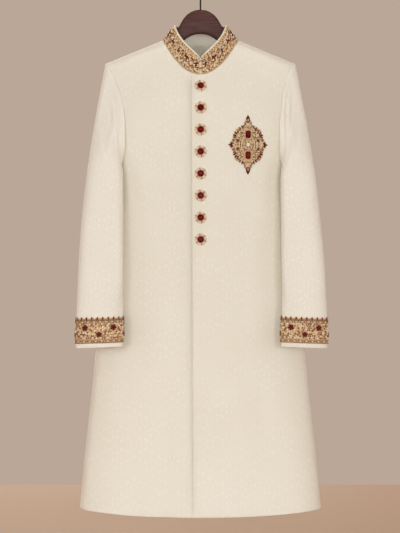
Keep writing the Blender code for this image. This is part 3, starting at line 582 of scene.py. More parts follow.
# In millimetres; x is the distance from the centre line.
PANEL_CREASES = {
    "front_left": rows_of(
        CREASE_COLUMNS,
        (188, -300, 176, -340, 171, -405, 7.5, 0.9), (178, -430, 160, -480, 152, -560, 12.0, 1.0),
        (196, -462, 172, -500, 166, -610, 9.0, 0.9), (20, -470, 60, -480, 112, -476, 6.0, 0.4),
        (24, -580, 55, -588, 98, -579, 7.0, 0.4), (110, -215, 150, -236, 186, -262, 9.0, 0.6),
        (150, -905, 158, -1030, 150, -1190, 19.0, 1.2), (60, -930, 64, -1060, 58, -1230, 23.0, 0.9),
    ),
    "front_right": rows_of(
        CREASE_COLUMNS,
        (181, -290, 168, -345, 163, -415, 8.0, 0.9), (170, -425, 150, -490, 146, -585, 12.0, 1.0),
        (194, -466, 170, -520, 160, -640, 9.5, 0.8), (30, -425, 62, -436, 96, -430, 6.0, 0.4),
        (28, -620, 70, -630, 118, -622, 7.5, 0.4), (100, -212, 142, -240, 180, -270, 9.5, 0.6),
        (165, -890, 174, -1020, 168, -1170, 18.0, 1.1), (85, -950, 90, -1080, 82, -1235, 24.0, 1.0),
    ),
    "back_left": rows_of(
        CREASE_COLUMNS,
        (190, -300, 178, -350, 176, -430, 9.0, 2.2), (30, -240, 80, -262, 150, -258, 10.0, 1.4),
        (178, -470, 140, -540, 120, -660, 14.0, 2.4), (50, -620, 62, -800, 56, -1020, 20.0, 2.2),
        (150, -780, 160, -960, 152, -1200, 22.0, 2.9), (90, -900, 98, -1050, 94, -1235, 18.0, 2.1),
    ),
    "back_right": rows_of(
        CREASE_COLUMNS,
        (188, -310, 176, -360, 172, -440, 9.0, 2.1), (40, -250, 90, -268, 148, -262, 10.0, 1.3),
        (180, -476, 150, -560, 134, -690, 14.0, 2.4), (70, -660, 80, -830, 72, -1060, 21.0, 2.1),
        (170, -800, 178, -980, 172, -1190, 20.0, 2.7), (110, -930, 118, -1070, 112, -1240, 19.0, 2.2),
    ),
}


# ---------------------------------------------------------------- body panels
STITCH_PITCH, STITCH_LENGTH, STITCH_WIDTH = 0.0032, 0.0024, 0.00055
LAP_STITCHED = 0.0052       # from the lap's edge
FACING_STITCHED = 0.0080    # from the edge of a side vent
VENT_TOP_Z = -0.880
LAP_ROUNDING, UNDERLAP_SINK, CENTRE_GROOVE, ARMHOLE_SINK = 0.0014, 0.0042, 0.0006, 0.0011
FACING_LIFT, HEM_FOLD, HEM_FOLD_UP = 0.00035, 0.00022, 0.030
# Stretches of the neck edge with more columns: from, to and how many.
FINE_COLUMNS = {"front_left": (LAP_TOP_X, LAP_TOP_X + 0.0165, 12), "front_right": (-0.0030, 0.0340, 27)}


def neck_seam(turn, face):
    centre_z = NECK_FRONT_Z if face == "front" else NECK_BACK_Z
    return NECK_X * np.sin(turn), NECK_Z + (centre_z - NECK_Z) * np.cos(turn) ** 2


def hem_z(x, face):
    centre = HEM_FRONT_Z if face == "front" else HEM_BACK_Z
    share = np.minimum(np.abs(x) / read_table(BODY, "half_width", HEM_SIDE_Z), 1.0)
    return centre + (HEM_SIDE_Z - centre) * share ** 2.2


def top_edge(start_x, face, fine):
    """Neck and shoulder edge of a panel; fine is a stretch of it with more columns."""
    turns = np.linspace(math.asin(start_x / NECK_X), math.pi / 2, NECK_COLUMNS + 1)
    if fine:
        extra = np.arcsin(np.linspace(*fine) / NECK_X)
        outside = (turns < extra[0] - 0.01) | (turns > extra[-1] + 0.01)
        turns = np.sort(np.concatenate((turns[outside], extra)))
    x, z = neck_seam(turns, face)
    neck = np.stack((x + SEAM_GAP * np.sin(turns), z - 1.5 * SEAM_GAP * np.cos(turns)), axis=-1)
    shares = np.sin(np.pi / 2 * np.arange(1, SHOULDER_COLUMNS + 1) / SHOULDER_COLUMNS)
    shoulder_x = neck[-1, 0] + (SHOULDER_X - neck[-1, 0]) * shares
    return np.concatenate((neck, np.stack((shoulder_x, shoulder_line(shoulder_x)), axis=-1)))


def side_edge(side, face):
    column = "back" if face == "back" else side + "_front"
    known = np.arange(len(ARMHOLE["drop"]), dtype=float)
    fine = np.linspace(0, known[-1], ARMHOLE_ROWS)
    z = SHOULDER_Z - along_curve(known, ARMHOLE["drop"], fine)
    seam_z = z[-1] + (HEM_SIDE_Z - z[-1]) * np.arange(1, SIDE_ROWS + 1) / SIDE_ROWS
    x = np.concatenate((along_curve(known, ARMHOLE[column], fine), read_table(BODY, "half_width", seam_z)))
    return np.stack((x, np.concatenate((z, seam_z))), axis=-1)


def outline_grid(side, face, top_x, hem_x, fine):
    top = top_edge(top_x, face, fine)
    outer_side = side_edge(side, face)
    down = (outer_side[:, 1] - outer_side[0, 1]) / (outer_side[-1, 1] - outer_side[0, 1])
    spread = (top[:, 0] - top[0, 0]) / (top[-1, 0] - top[0, 0])
    hem_places = hem_x + (outer_side[-1, 0] - hem_x) * spread
    hem = np.stack((hem_places, hem_z(hem_places, face)), axis=-1)
    hem[-1] = outer_side[-1]
    across, below = (grid[..., None] for grid in np.meshgrid(spread, down))
    drawn_in = outer_side[:, None] - (1 - below) * top[-1] - below * hem[-1]
    return (1 - below) * top[None] + below * hem[None] + across ** 3 * drawn_in


def panel_places(grid, start_x, top_z):
    """Across and up the cloth of a panel, in metres, with the pattern kept upright."""
    u = start_x[:, None] + arc_lengths(grid[..., :2], 1)
    return np.stack((u, top_z - arc_lengths(grid[..., 1:], 0)), axis=-1)


# Where each edge of a grid lies, and the row or column beside it.
EDGES = {
    "top": (np.s_[0], np.s_[1]), "bottom": (np.s_[-1, ::-1], np.s_[-2, ::-1]),
    "start": (np.s_[::-1, 0], np.s_[::-1, 1]), "end": (np.s_[:, -1], np.s_[:, -2]),
}


def shell(name, outer, inner, wraps, material, round_edges=(), uv=None, lining=None):
    """Closed wall of cloth, lined within if a lining is given; a named edge is a soft fold, not a cut."""
    count = outer.shape[0] * outer.shape[1]
    index = np.arange(count).reshape(outer.shape[:2])
    if wraps:
        index = np.concatenate((index, index[:, :1]), axis=1)
    points = np.concatenate((outer.reshape(-1, 3), inner.reshape(-1, 3)))
    outer, inner = points[index], points[index + count]
    if uv is None:
        uv = np.stack((arc_lengths(outer, 1), -arc_lengths(outer, 0)), axis=-1)
    sheet, sheet_uv = (np.stack((grid[:-1, :-1], grid[1:, :-1], grid[1:, 1:], grid[:-1, 1:]), axis=2)
                       for grid in (index, uv))
    sheet, sheet_uv = sheet.reshape(-1, 4), sheet_uv.reshape(-1, 4, 2)
    faces, uvs = [sheet, sheet[:, ::-1] + count], [sheet_uv, sheet_uv[:, ::-1]]
    for edge, (at, beside) in EDGES.items():
        if wraps and edge in ("start", "end"):
            continue
        ring, ring_uv = index[at], uv[at]
        chain = [ring]
        if edge in round_edges:
            a, b = outer[at], inner[at]
            radius = np.linalg.norm(a - b, axis=1, keepdims=True) / 2
            bulge = unit(a - outer[beside]) * radius
            for turn in (0.25, 0.5, 0.75):
                along, out = polar(1.0, math.pi * turn)
                loop = (a + b) / 2 + (a - b) / 2 * along + bulge * out
                ids = len(points) + np.arange(len(loop))
                if wraps:
                    loop, ids = loop[:-1], np.append(ids[:-1], ids[0])
                points = np.concatenate((points, loop))
                chain.append(ids)
        chain.append(ring + count)
        for near, far in zip(chain, chain[1:]):
            faces.append(np.stack((near[:-1], near[1:], far[1:], far[:-1]), axis=-1))
            uvs.append(np.stack((ring_uv[:-1], ring_uv[1:], ring_uv[1:], ring_uv[:-1]), axis=1))
    tones = np.repeat([0, 1 if lining else 0, 0], [len(sheet), len(sheet), sum(map(len, faces[2:]))])
    finishes = (material, lining) if lining else (material,)
    return mesh_object(name, points, np.concatenate(faces).tolist(), finishes, np.concatenate(uvs), tones)


# Corners of a stitch, in shares of its length along the line and of its width aside and up.
STITCH = ((-0.5, 0, 0), (0, 0.5, 0), (0, 0, 0.55), (0, -0.5, 0), (0, 0, -0.3), (0.5, 0, 0))


def stitches(name, panel, away, rows=slice(None)):
    """A row of running stitches that keeps its distance from a panel's edge."""
    line, facing = [], []
    for points, normals, distance in zip(*(part[rows] for part in panel)):
        order = np.argsort(distance)
        line.append(between(away, distance[order], points[order]))
        facing.append(between(away, distance[order], normals[order]))
    line, facing = np.array(line), np.array(facing)
    run = arc_lengths(line)
    at = np.arange(STITCH_PITCH, run[-1] - STITCH_PITCH, STITCH_PITCH)
    middle = between(at, run, line)
    up = unit(between(at, run, facing))
    along = unit(between(at + 0.0005, run, line) - middle)
    side = unit(np.cross(along, up))
    middle = middle + up * 0.00005
    corners = [middle + along * STITCH_LENGTH * a + (side * b + up * c) * STITCH_WIDTH for a, b, c in STITCH]
    faces = []
    for start in range(0, 6 * len(middle), 6):
        for near, far in ((1, 2), (2, 3), (3, 4), (4, 1)):
            faces.append((start, start + near, start + far))
            faces.append((start + 5, start + far, start + near))
    uvs = [(0.0, 0.0), (0.001, 0.0), (0.001, 0.002)] * len(faces)
    points = np.stack(corners, axis=1).reshape(-1, 3)
    dress(mesh_object(name, points, faces, THREADS, uvs, [TONE["cream"]] * len(faces)), "ivory_brocade")


def panel_lift(name, flat, outer):
    """How far the cloth of a panel stands off its solid."""
    from_edge = arc_lengths(outer, 1)
    to_side = from_edge[:, -1:] - from_edge
    above_hem, below_top = flat[..., 1] - flat[-1:, :, 1], flat[:1, :, 1] - flat[..., 1]
    lift = crease_lift(flat[..., 0], flat[..., 1], np.array(PANEL_CREASES[name]) / 1000)
    if name == "front_left":
        rounding = ease(from_edge / 0.0095) * (1 - ease((from_edge - 0.020) / 0.090))
        lift = lift * ease((from_edge - 0.014) / 0.02) + LAP_ROUNDING * rounding
    elif name == "front_right":
        down = (flat[..., 1] - flat[0, 0, 1]) / (flat[-1, 0, 1] - flat[0, 0, 1])
        outside = flat[..., 0] + LAP_TOP_X + (LAP_HEM_X - LAP_TOP_X) * down
        sink = (1 - ease((outside - 0.0005) / 0.0200)) * ease((outside + 0.012) / 0.008)
        lift = lift * ease((from_edge - 0.060) / 0.02) - UNDERLAP_SINK * sink
    else:
        lift = lift * ease(from_edge / 0.012) - CENTRE_GROOVE * np.exp(-(from_edge / 0.0022) ** 2)
    hold = ease(to_side / 0.012) * ease(above_hem / 0.010) * ease(below_top / 0.02)
    beside_sleeve = (1 - ease(to_side / 0.014)) * (np.arange(len(flat)) < ARMHOLE_ROWS)[:, None]
    facing = (1 - ease((to_side - 0.0085) / 0.0012)) * ease((-0.86 - flat[..., 1]) / 0.03)
    lift = lift * hold + FACING_LIFT * facing - ARMHOLE_SINK * beside_sleeve * ease(below_top / 0.02)
    return lift - HEM_FOLD * np.exp(-((above_hem - HEM_FOLD_UP) / 0.0012) ** 2), from_edge, to_side


def body_panel(name, top_x, hem_x, lap=None):
    """One front or back; returns the outer and inner grids of its solid, which the sleeves are set into."""
    face, side = name.split("_")
    flat = outline_grid(side, face, top_x, hem_x, FINE_COLUMNS.get(name))
    outer = body_points(SIDES[side] * flat[..., 0], flat[..., 1], face)
    if lap:
        outer[..., 1] += (WALL + OVERLAP_GAP) * ease((outer[..., 0] - lap[0]) / (lap[1] - lap[0]))
    toward = outer * np.array((0.3, 1.0, 0.0)) + np.array((0.0, 0.0, 0.0001))
    normals = grid_normals(outer, False, toward)
    normals[0, -1 - SHOULDER_COLUMNS:, 1] = 0.0
    normals[ARMHOLE_ROWS - 1:, -1, 1] = 0.0
    if face == "back":
        normals[:, 0, 0] = 0.0
    normals = unit(normals)
    inner = outer - WALL * normals
    lift, from_edge, to_side = panel_lift(name, flat, outer)
    visible = outer + normals * lift[..., None]
    visible_inner = inner + normals * (np.minimum(lift, 0.0) * ease(to_side / 0.004))[..., None]
    if name == "front_left":
        stitches(name + "_stitches", (visible, normals, from_edge), LAP_STITCHED)
    stitches(name + "_vent_stitches", (visible, normals, to_side), FACING_STITCHED, flat[:, -1, 1] < VENT_TOP_Z)
    places = panel_places(outer, flat[:, 0, 0], flat[0, :, 1])
    edges = ("bottom", "start") if face == "front" else ("bottom",)
    cloth = shell(name + "_cloth", visible, visible_inner, False, BROCADE, edges, places, LINING)
    dress(cloth, "ivory_brocade", name)
    return outer, inner


# ---------------------------------------------------------------- sleeves
def armhole_ring(front, back):
    """Outer and inner rings of the armhole, and the ways out of it."""
    def joined(grid, other, column):
        a, b = grid[:ARMHOLE_ROWS, column], other[:ARMHOLE_ROWS, column]
        ring = np.concatenate((a, b[-2:0:-1]))
        ring[0] = (a[0] + b[0]) / 2
        ring[ARMHOLE_ROWS - 1] = (a[-1] + b[-1]) / 2
        return ring

    outer, inner = (joined(a, b, -1) for a, b in zip(front, back))
    outward = outer - joined(front[0], back[0], -4)
    outward[ARMHOLE_ROWS - 1] = (0.0, 0.0, 1.0)
    along = unit(np.roll(outer, -1, axis=0) - np.roll(outer, 1, axis=0))
    outward = unit(outward - along * np.sum(outward * along, axis=1, keepdims=True))
    for _ in range(ARMHOLE_SPLIT):
        outward = unit(outward + 0.5 * (np.roll(outward, 1, axis=0) + np.roll(outward, -1, axis=0)))
    return outer, inner, outward


def ring_turns(ring):
    """Turn of each point of the armhole: 0 at the shoulder, half a turn at the underarm seam."""
    run = arc_lengths(np.concatenate((ring, ring[:1])))
    half = run[ARMHOLE_ROWS - 1]
    return np.pi * np.where(run < half, run / half, 1 + (run - half) / (run[-1] - half))[:-1]


def clear_of_body(x, y, z, clearance):
    width = read_table(BODY, "half_width", z) + clearance
    depth = np.where(y < 0, read_table(BODY, "front_depth", z), read_table(BODY, "back_depth", z)) + clearance
    inside = (np.abs(x) / width) ** SQUARENESS + (np.abs(y) / depth) ** SQUARENESS
    scale = np.maximum(np.maximum(inside, 1e-9) ** (-1 / SQUARENESS), 1.0)
    return x * scale, y * scale


def sleeve_points(side, turn, z):
    turn, z = np.broadcast_arrays(np.asarray(turn, float), np.asarray(z, float))
    top, bottom = SLEEVE["z"][0], SLEEVE["z"][-1]
    share = (top - z) / (top - bottom)
    angle = turn + SLEEVE_TURN * (1 - ease(share * 1.2)) * (1 - np.cos(turn)) / 2
    outer = read_table(SLEEVE, side + "_outer", z)
    inner = read_table(SLEEVE, side + "_inner", z)
    reach = np.where(np.sin(angle) > 0, read_table(SLEEVE, "front", z), read_table(SLEEVE, "back", z))
    x = (outer + inner) / 2 + (outer - inner) / 2 * np.cos(angle)
    y = read_table(SLEEVE, "middle_y", z) - reach * np.sin(angle)
    clearance = BODY_CLEARANCE + (UNDERARM_CLEARANCE - BODY_CLEARANCE) * (1 - ease(share * 4))
    x, y = clear_of_body(x, y, z, clearance)
    return np.stack((SIDES[side] * x, y, z - CUFF_TILT * np.cos(turn) * ease(share)), axis=-1)


SLEEVE_CREASE_COLUMNS = "turn_start down_start turn_middle down_middle turn_end down_end half_width depth"
# Turn round the sleeve in radians, distance down it and sizes in millimetres.
SLEEVE_CREASES = {
    "left": rows_of(
        SLEEVE_CREASE_COLUMNS,
        (0.55, 18.48, 1.20, 39.60, 2.15, 43.56, 7.0, 2.6), (0.30, 52.80, 1.15, 73.92, 2.20, 80.52, 8.0, 2.2),
        (0.4, 104.28, 1.2, 118.8, 1.95, 129.36, 10.0, 1.4), (0.6, 231.0, 1.1, 245.52, 1.9, 237.6, 13.0, 1.0),
        (0.5, 310.2, 1.2, 298.32, 2.0, 316.8, 12.0, 1.1), (0.7, 369.6, 1.3, 382.8, 2.1, 369.6, 12.0, 0.9),
        (4.1, 39.6, 4.8, 66.0, 5.7, 52.8, 11.0, 1.8), (3.9, 198.0, 4.6, 217.8, 5.5, 204.6, 13.0, 2.0),
        (3.8, 277.2, 4.7, 264.0, 5.6, 290.4, 12.0, 1.8), (4.0, 369.6, 4.8, 396.0, 5.5, 382.8, 13.0, 1.2),
    ),
    "right": rows_of(
        SLEEVE_CREASE_COLUMNS,
        (0.45, 23.76, 1.10, 42.24, 2.05, 51.48, 7.0, 2.5), (0.35, 60.72, 1.25, 77.88, 2.25, 84.48, 8.5, 2.1),
        (0.45, 112.2, 1.15, 129.36, 1.9, 135.96, 10.5, 1.3), (0.55, 217.8, 1.2, 231.0, 1.95, 221.1, 13.0, 0.9),
        (0.6, 300.3, 1.25, 313.5, 2.05, 300.3, 12.0, 1.1), (0.5, 396.0, 1.2, 389.4, 2.0, 405.9, 12.0, 0.9),
        (4.2, 33.0, 4.9, 62.7, 5.8, 59.4, 11.0, 1.7), (3.9, 211.2, 4.7, 227.7, 5.6, 211.2, 13.0, 1.9),
        (3.9, 297.0, 4.6, 283.8, 5.5, 303.6, 12.0, 1.8), (4.0, 389.4, 4.7, 402.6, 5.6, 389.4, 13.0, 1.2),
    ),
}
TURN_RADIUS = 0.045         # the sleeve's mean radius, which makes a length of a turn
HEAD_ROLL = 0.0030          # how far the sleeve head rolls over its seam
HEAD_RIDGE = 0.0022         # how high the folds below the sleeve head stand
CUFF_FOLD, CUFF_FOLD_UP = 0.0003, 0.0085
BAND_COVERS = 0.078         # up from the sleeve's edge, where no crease goes
SLEEVE_PRESSED = 0.0060     # how far pressing flat squares the front of the sleeve
CORNER_SQUARENESS = 7.0     # of the pressed front edge beside the body; 2 is an ellipse


def sleeve_grid(side, front, back):
    sign = SIDES[side]
    seam_outer, seam_inner, outward = armhole_ring(front, back)
    start = seam_outer + SEAM_GAP * outward
    turns = ring_turns(seam_outer)
    top_z, cuff_z = SLEEVE["z"][0], SLEEVE["z"][-1]
    head_end = sleeve_points(side, turns, top_z)
    heading = unit(sleeve_points(side, turns, top_z - 0.02) - head_end)
    top = ((1 + np.cos(turns)) / 2)[:, None] ** 1.5
    forward = np.where(np.sin(turns) > 0, -0.04, 0.03)
    swing = np.stack(np.broadcast_arrays(sign * 0.022, forward, -0.06), axis=-1)
    pull = 0.022 * outward + top * np.array((sign * 0.030, 0, -0.24)) + np.abs(np.sin(turns))[:, None] * swing
    arrive = heading * np.maximum(np.linalg.norm(head_end - start, axis=1, keepdims=True) * 0.9, 0.02)
    rows = [start]
    folded = HEAD_RIDGE * (np.maximum(np.sin(turns), 0) ** 2 + 0.8 * np.maximum(-np.sin(turns), 0) ** 2)
    fold_way = np.stack(np.broadcast_arrays(sign * 0.3, -np.sin(turns), 0.0), axis=-1)
    for row in range(1, HEAD_ROWS + 1):
        share = (row / HEAD_ROWS) ** 1.25
        swell = math.sin(math.pi * share) ** 1.2 if row < HEAD_ROWS else 0.0
        wave = np.sin(9.5 * share + 1.4 * turns) * swell
        rows.append(hermite(start, pull, head_end, arrive, share) + (folded * wave)[:, None] * fold_way)
    for row in range(1, SLEEVE_ROWS + 1):
        rows.append(sleeve_points(side, turns, top_z + (cuff_z - top_z) * row / SLEEVE_ROWS))
    return np.array(rows), seam_inner + SEAM_GAP * outward, turns


def pressed_corner(grid, side):
    """Shift that squares the front of a sleeve on the side next to the body."""
    low, high = grid.min(axis=1, keepdims=True), grid.max(axis=1, keepdims=True)
    middle = (low + high) / 2
    share = (grid - middle) / ((high - low) / 2)
    across, forward = -share[..., 0] * SIDES[side], -share[..., 1]
    size = np.abs(across) ** CORNER_SQUARENESS + np.abs(forward) ** CORNER_SQUARENESS
    grow = np.maximum(np.maximum(size, 0.01) ** (-1 / CORNER_SQUARENESS) - 1, 0.0)
    grow = grow * ease(across / 0.30) * ease((forward - 0.25) / 0.35)
    return np.where(np.arange(3) < 2, (grid - middle) * grow[..., None], 0.0)


def sleeve(side, front, back):
    outer, first_inner, turns = sleeve_grid(side, front, back)
    normals = grid_normals(outer, True, outer - outer.mean(axis=1, keepdims=True))
    inner = outer - WALL * normals
    inner[0] = first_inner
    down = arc_lengths(outer)
    above_edge = down[-1:] - down
    creases = np.array(SLEEVE_CREASES[side]) * ((TURN_RADIUS, 0.001) * 3 + (0.001, 0.001))
    lift = crease_lift(np.broadcast_to(turns * TURN_RADIUS, down.shape), down, creases)
    lift = lift * ease(down / 0.015) * ease((above_edge - BAND_COVERS) / 0.02)
    lift = lift - CUFF_FOLD * np.exp(-((above_edge - CUFF_FOLD_UP) / 0.0010) ** 2)
    roll = ease(down / 0.004) * (1 - ease((down - 0.008) / 0.030)) * np.maximum(np.sin(turns), 0) ** 0.7
    pressed = np.where(turns < math.pi / 2, np.sin(2 * turns) ** 2, 0.0) * ease((down - 0.14) / 0.12)
    above_cuff = ease((above_edge - BAND_COVERS) / 0.09)
    lift = lift + HEAD_ROLL * roll + SLEEVE_PRESSED * pressed * above_cuff
    squared = pressed_corner(outer, side) * (ease((down - 0.015) / 0.085) * above_cuff)[..., None]
    visible = outer + squared + normals * lift[..., None]
    inner = inner + squared + normals * (lift * ease(down / 0.006))[..., None]
    seam = ARMHOLE_ROWS - 1
    visible, inner = np.roll(visible, -seam, axis=1), np.roll(inner, -seam, axis=1)
    closed = np.concatenate((visible, visible[:, :1]), axis=1)
    u, v = arc_lengths(closed, 1), arc_lengths(closed)
    middle = len(turns) - seam + seam // 2
    places = np.stack((u - u[:, middle:middle + 1], v[-1:] - v), axis=-1)
    name = "sleeve_" + side
    cloth = shell(name + "_cloth", visible, inner, True, SLEEVE_BROCADE_PAINTED_LIGHTER, ("bottom",), places, LINING)
    dress(cloth, "ivory_brocade", name)


# ---------------------------------------------------------------- embroidery
# Petals of a cluster: turn, start and length as shares of its radius, and the thread.
CLUSTER = (
    (0.10, 0.10, 0.95, "maroon"), (0.95, 0.10, 0.75, "umber"),
    (1.80, 0.34, 0.50, "cream"), (2.50, 0.08, 0.85, "maroon"),
    (3.45, 0.36, 0.55, "cream"), (4.15, 0.10, 0.90, "umber"),
    (5.00, 0.10, 0.60, "maroon"), (5.70, 0.30, 0.55, "gold"),
)
SUNK = 0.0002               # how far stitches start below the face of the cloth
LEAF_EDGE = 0.00010
LEAF_STEPS, LEAF_RIBS = 7, 5
LEAF_GRID = np.meshgrid(np.linspace(0, 1, LEAF_STEPS), np.linspace(-1, 1, LEAF_RIBS), indexing="ij")
LEAF_FACES = ring_faces(LEAF_STEPS, LEAF_RIBS)
DOT_RINGS = ((0.86, 0.55), (0.50, 0.90))      # shares of a dot's radius and rise, above its foot
CORD_ANGLES = np.radians((205, 150, 90, 30, -25))
CORD_MIDDLE = 0.45          # height of a cord's middle over the cloth, as a share of its radius


class Needlework:
    """Raised stitching and beads on a surface, gathered into one mesh.

    Places are (along, up) in metres on the surface, which turns them into points and outward normals.
    """

    def __init__(self, surface, lift):
        self.surface, self.lift = surface, lift
        self.places, self.faces, self.tones, self.uvs = [], [], [], []
        self.count = 0
        self.taken = []

    def add(self, along, up, rise, faces, tone, uv=None):
        flat = np.stack((along, up, rise), axis=-1).reshape(-1, 3)
        uv = flat[:, :2] if uv is None else uv.reshape(-1, 2)
        self.places.append(flat)
        for face in faces:
            self.faces.append([self.count + corner for corner in face])
            self.tones.append(TONE[tone])
            self.uvs.append(uv[list(face)])
        self.count += len(flat)

    def clear(self, along, up, radius):
        return all((along - a) ** 2 + (up - b) ** 2 > (radius + r) ** 2 for a, b, r in self.taken)

    def take(self, along, up, radius):
        self.taken.append((along, up, radius))

    def leaf(self, along, up, angle, length, width, rise, tone, bend=0.0, full=0.85):
        a, b = LEAF_GRID
        x = a * length
        y = b * (width / 2 * np.sin(np.pi * a ** full) + LEAF_EDGE) + bend * length * 4 * a * (1 - a)
        height = (rise + SUNK) * np.sqrt(1 - b ** 2) * np.sin(np.pi * np.clip(a, 0.04, 0.96)) ** 0.6 - SUNK
        c, s = polar(1.0, angle)
        self.add(along + x * c - y * s, up + x * s + y * c, height, LEAF_FACES, tone, np.stack((x, y), axis=-1))

    def dot(self, along, up, radius, rise, tone, sides=8):
        shares, heights = np.array(((1.0, -SUNK), *((share, rise * high) for share, high in DOT_RINGS))).T
        x, y = polar(radius * shares[:, None], rounds(sides))
        z = np.broadcast_to(heights[:, None], x.shape)
        top = (len(shares) - 1) * sides
        faces = ring_faces(len(shares), sides)[:-1]
        faces += [(top + step, top + (step + 1) % sides, top + sides) for step in range(sides)]
        self.add(along + np.append(x, 0.0), up + np.append(y, 0.0), np.append(z, rise), faces, tone)

    def cord(self, path, radius, tone, spacing=0.0011, closed=False):
        """Couched cord along a path of places, half sunk in the cloth."""
        path = np.asarray(path, float)
        if closed:
            path = np.concatenate((path, path[:1]))
        run = arc_lengths(path)
        at = np.linspace(0, run[-1], max(int(run[-1] / spacing), 3) + 1)
        line = between(at, run, path)
        if closed:
            line, at = line[:-1], at[:-1]
            way = unit(np.roll(line, -1, axis=0) - np.roll(line, 1, axis=0))
        else:
            way = unit(np.gradient(line, axis=0))
        across, high = polar(radius, CORD_ANGLES)
        x = line[:, :1] - way[:, 1:] * across
        y = line[:, 1:] + way[:, :1] * across
        z = np.broadcast_to(radius * CORD_MIDDLE + high, x.shape)
        uv = np.stack(np.broadcast_arrays(at[:, None], radius * CORD_ANGLES), axis=-1)
        self.add(x, y, z, ring_faces(*x.shape, closed), tone, uv)

    def ring(self, length, up, radius, tone, spacing, points=260):
        """Cord right round a band of this length, at a height or at one for each of its points."""
        loops = np.linspace(0, length, points, endpoint=False)
        self.cord(np.stack(np.broadcast_arrays(loops, up), axis=-1), radius, tone, spacing, closed=True)

    def flower(self, along, up, radius, petals, turn, tone, heart, edge):
        for shift, long, wide, rise, thread_tone, full in (
            (0.5, 1.08, 0.42, 0.10, edge, 0.85),
            (0.0, 1.00, 0.80, 0.20, tone, 1.1),
        ):
            for step in range(petals):
                angle = turn + 2 * math.pi * (step + shift) / petals
                self.leaf(along, up, angle, radius * long, radius * wide, radius * rise, thread_tone, full=full)
        self.dot(along, up, radius * 0.19, radius * 0.32, heart)

    def cluster(self, along, up, radius, turn):
        """Uneven knot of dark petals with a few bright stitches between them."""
        for angle, reach, length, tone in CLUSTER:
            x, y = polar(radius * reach, turn + angle)
            self.leaf(along + x, up + y, turn + angle + 0.25, radius * length, radius * 0.70, radius * 0.17, tone,
                      full=1.0)
        self.dot(along, up, radius * 0.16, radius * 0.28, "maroon")

    def finish(self, name):
        flat = np.concatenate(self.places)
        points, normals = self.surface(flat[:, 0], flat[:, 1])
        points = points + normals * (self.lift + flat[:, 2])[:, None]
        stitched = mesh_object(name, points, self.faces, THREADS, np.concatenate(self.uvs), self.tones)
        dress(stitched, "gold_embroidery")


# Small stitches: the share of draws up to which each is taken, then its thread, length and width.
SMALL_LEAVES = (
    (0.17, "umber", 0.0056, 0.0028), (0.31, "copper", 0.0056, 0.0028),
    (0.39, "maroon", 0.0050, 0.0028), (0.52, "gold", 0.0052, 0.0026),
)
SMALL_KNOTS = ((0.62, "umber", 0.0017, 0.0012), (1.0, "cream", 0.0019, 0.0014))


def small_stitch(work, along, up, draw):
    """One of the small leaves or knots that fill the ground between the motifs."""
    if not work.clear(along, up, 0.0013):
        return
    pick, angle = draw.random(), draw.uniform(0, 2 * math.pi)
    for limit, tone, length, width in SMALL_LEAVES:
        if pick < limit:
            x, y = polar(length * 0.45, angle)
            work.leaf(along - x, up - y, angle, length, width, 0.0008, tone)
            return
    _, tone, radius, rise = next(knot for knot in SMALL_KNOTS if pick < knot[0])
    work.dot(along, up, radius, rise, tone)


SMALL_PITCH = 0.0047


# ---------------------------------------------------------------- cuff bands
class CuffSurface:
    """A sleeve's cuff band: along it from the underarm seam, and up from its lower edge."""

    def __init__(self, side):
        self.side = side
        self.turns = np.linspace(-math.pi, math.pi, 721)
        middle = sleeve_points(side, self.turns, (CUFF_BAND_TOP + CUFF_BAND_BOTTOM) / 2)
        self.run = arc_lengths(middle)
        self.length = self.run[-1]
        self.front = float(np.interp(math.pi / 2, self.turns, self.run))

    def point(self, along, z):
        return sleeve_points(self.side, np.interp(np.mod(along, self.length), self.run, self.turns), z)

    def __call__(self, along, up):
        z, aside, above = CUFF_BAND_BOTTOM + up, 0.0008, 0.002
        middle = self.point(along, z)
        across = self.point(along + aside, z) - self.point(along - aside, z)
        normals = unit(np.cross(across, self.point(along, z + above) - self.point(along, z - above)))
        centre = sleeve_points(self.side, rounds(4), z.mean()).mean(axis=0)
        return middle, normals * np.sign(np.mean(np.sum(normals * (middle - centre), axis=-1)))


CUFF_COLUMNS, CUFF_ROWS = 200, 14
SCALLOP_PITCH, SCALLOP_DROP, SCALLOP_HEIGHT = 0.0125, 0.0008, 0.0030
CUFF_CORDS = (
    (0.0012, 0.00060, "umber"), (0.0073, 0.00050, "copper"),
    (BAND_HEIGHT - 0.0100, 0.0005, "copper"), (BAND_HEIGHT - 0.0048, 0.00060, "umber"),
)
CUFF_FIELD = (0.0096, BAND_HEIGHT - 0.0104)     # from and to, between the two rows of beads
BEAD_LINE = 0.0044


def cuff_edges(work, length, scallops):
    """Rows of beads at both edges of the band, and a spray of leaves in each scallop."""
    beads = round(length / 0.0046)
    for step in range(beads):
        place = (step + 0.5) * length / beads
        if step % 3 < 2:
            work.leaf(place - 0.0024, BEAD_LINE, 0.0, 0.0050, 0.0022, 0.0009, ("maroon", "umber")[step % 3])
        else:
            work.dot(place, BEAD_LINE, 0.0013, 0.0011, "cream")
        work.dot(place, BAND_HEIGHT - 0.0074, 0.0013, 0.0011, ("maroon", "cream", "umber")[step % 3])
    foot, upright = BAND_HEIGHT - 0.0040, math.pi / 2
    for step in range(scallops):
        place = (step + 0.5) * length / scallops
        work.leaf(place, foot, upright, 0.0090, 0.0036, 0.0010, ("maroon", "umber")[step % 2])
        for lean in (-1, 1):
            work.leaf(place + lean * 0.0006, foot, upright - lean * 0.95, 0.0052, 0.0024, 0.0008, "copper")
        work.dot(place + length / scallops / 2, foot + 0.0012, 0.0012, 0.0010, "umber")


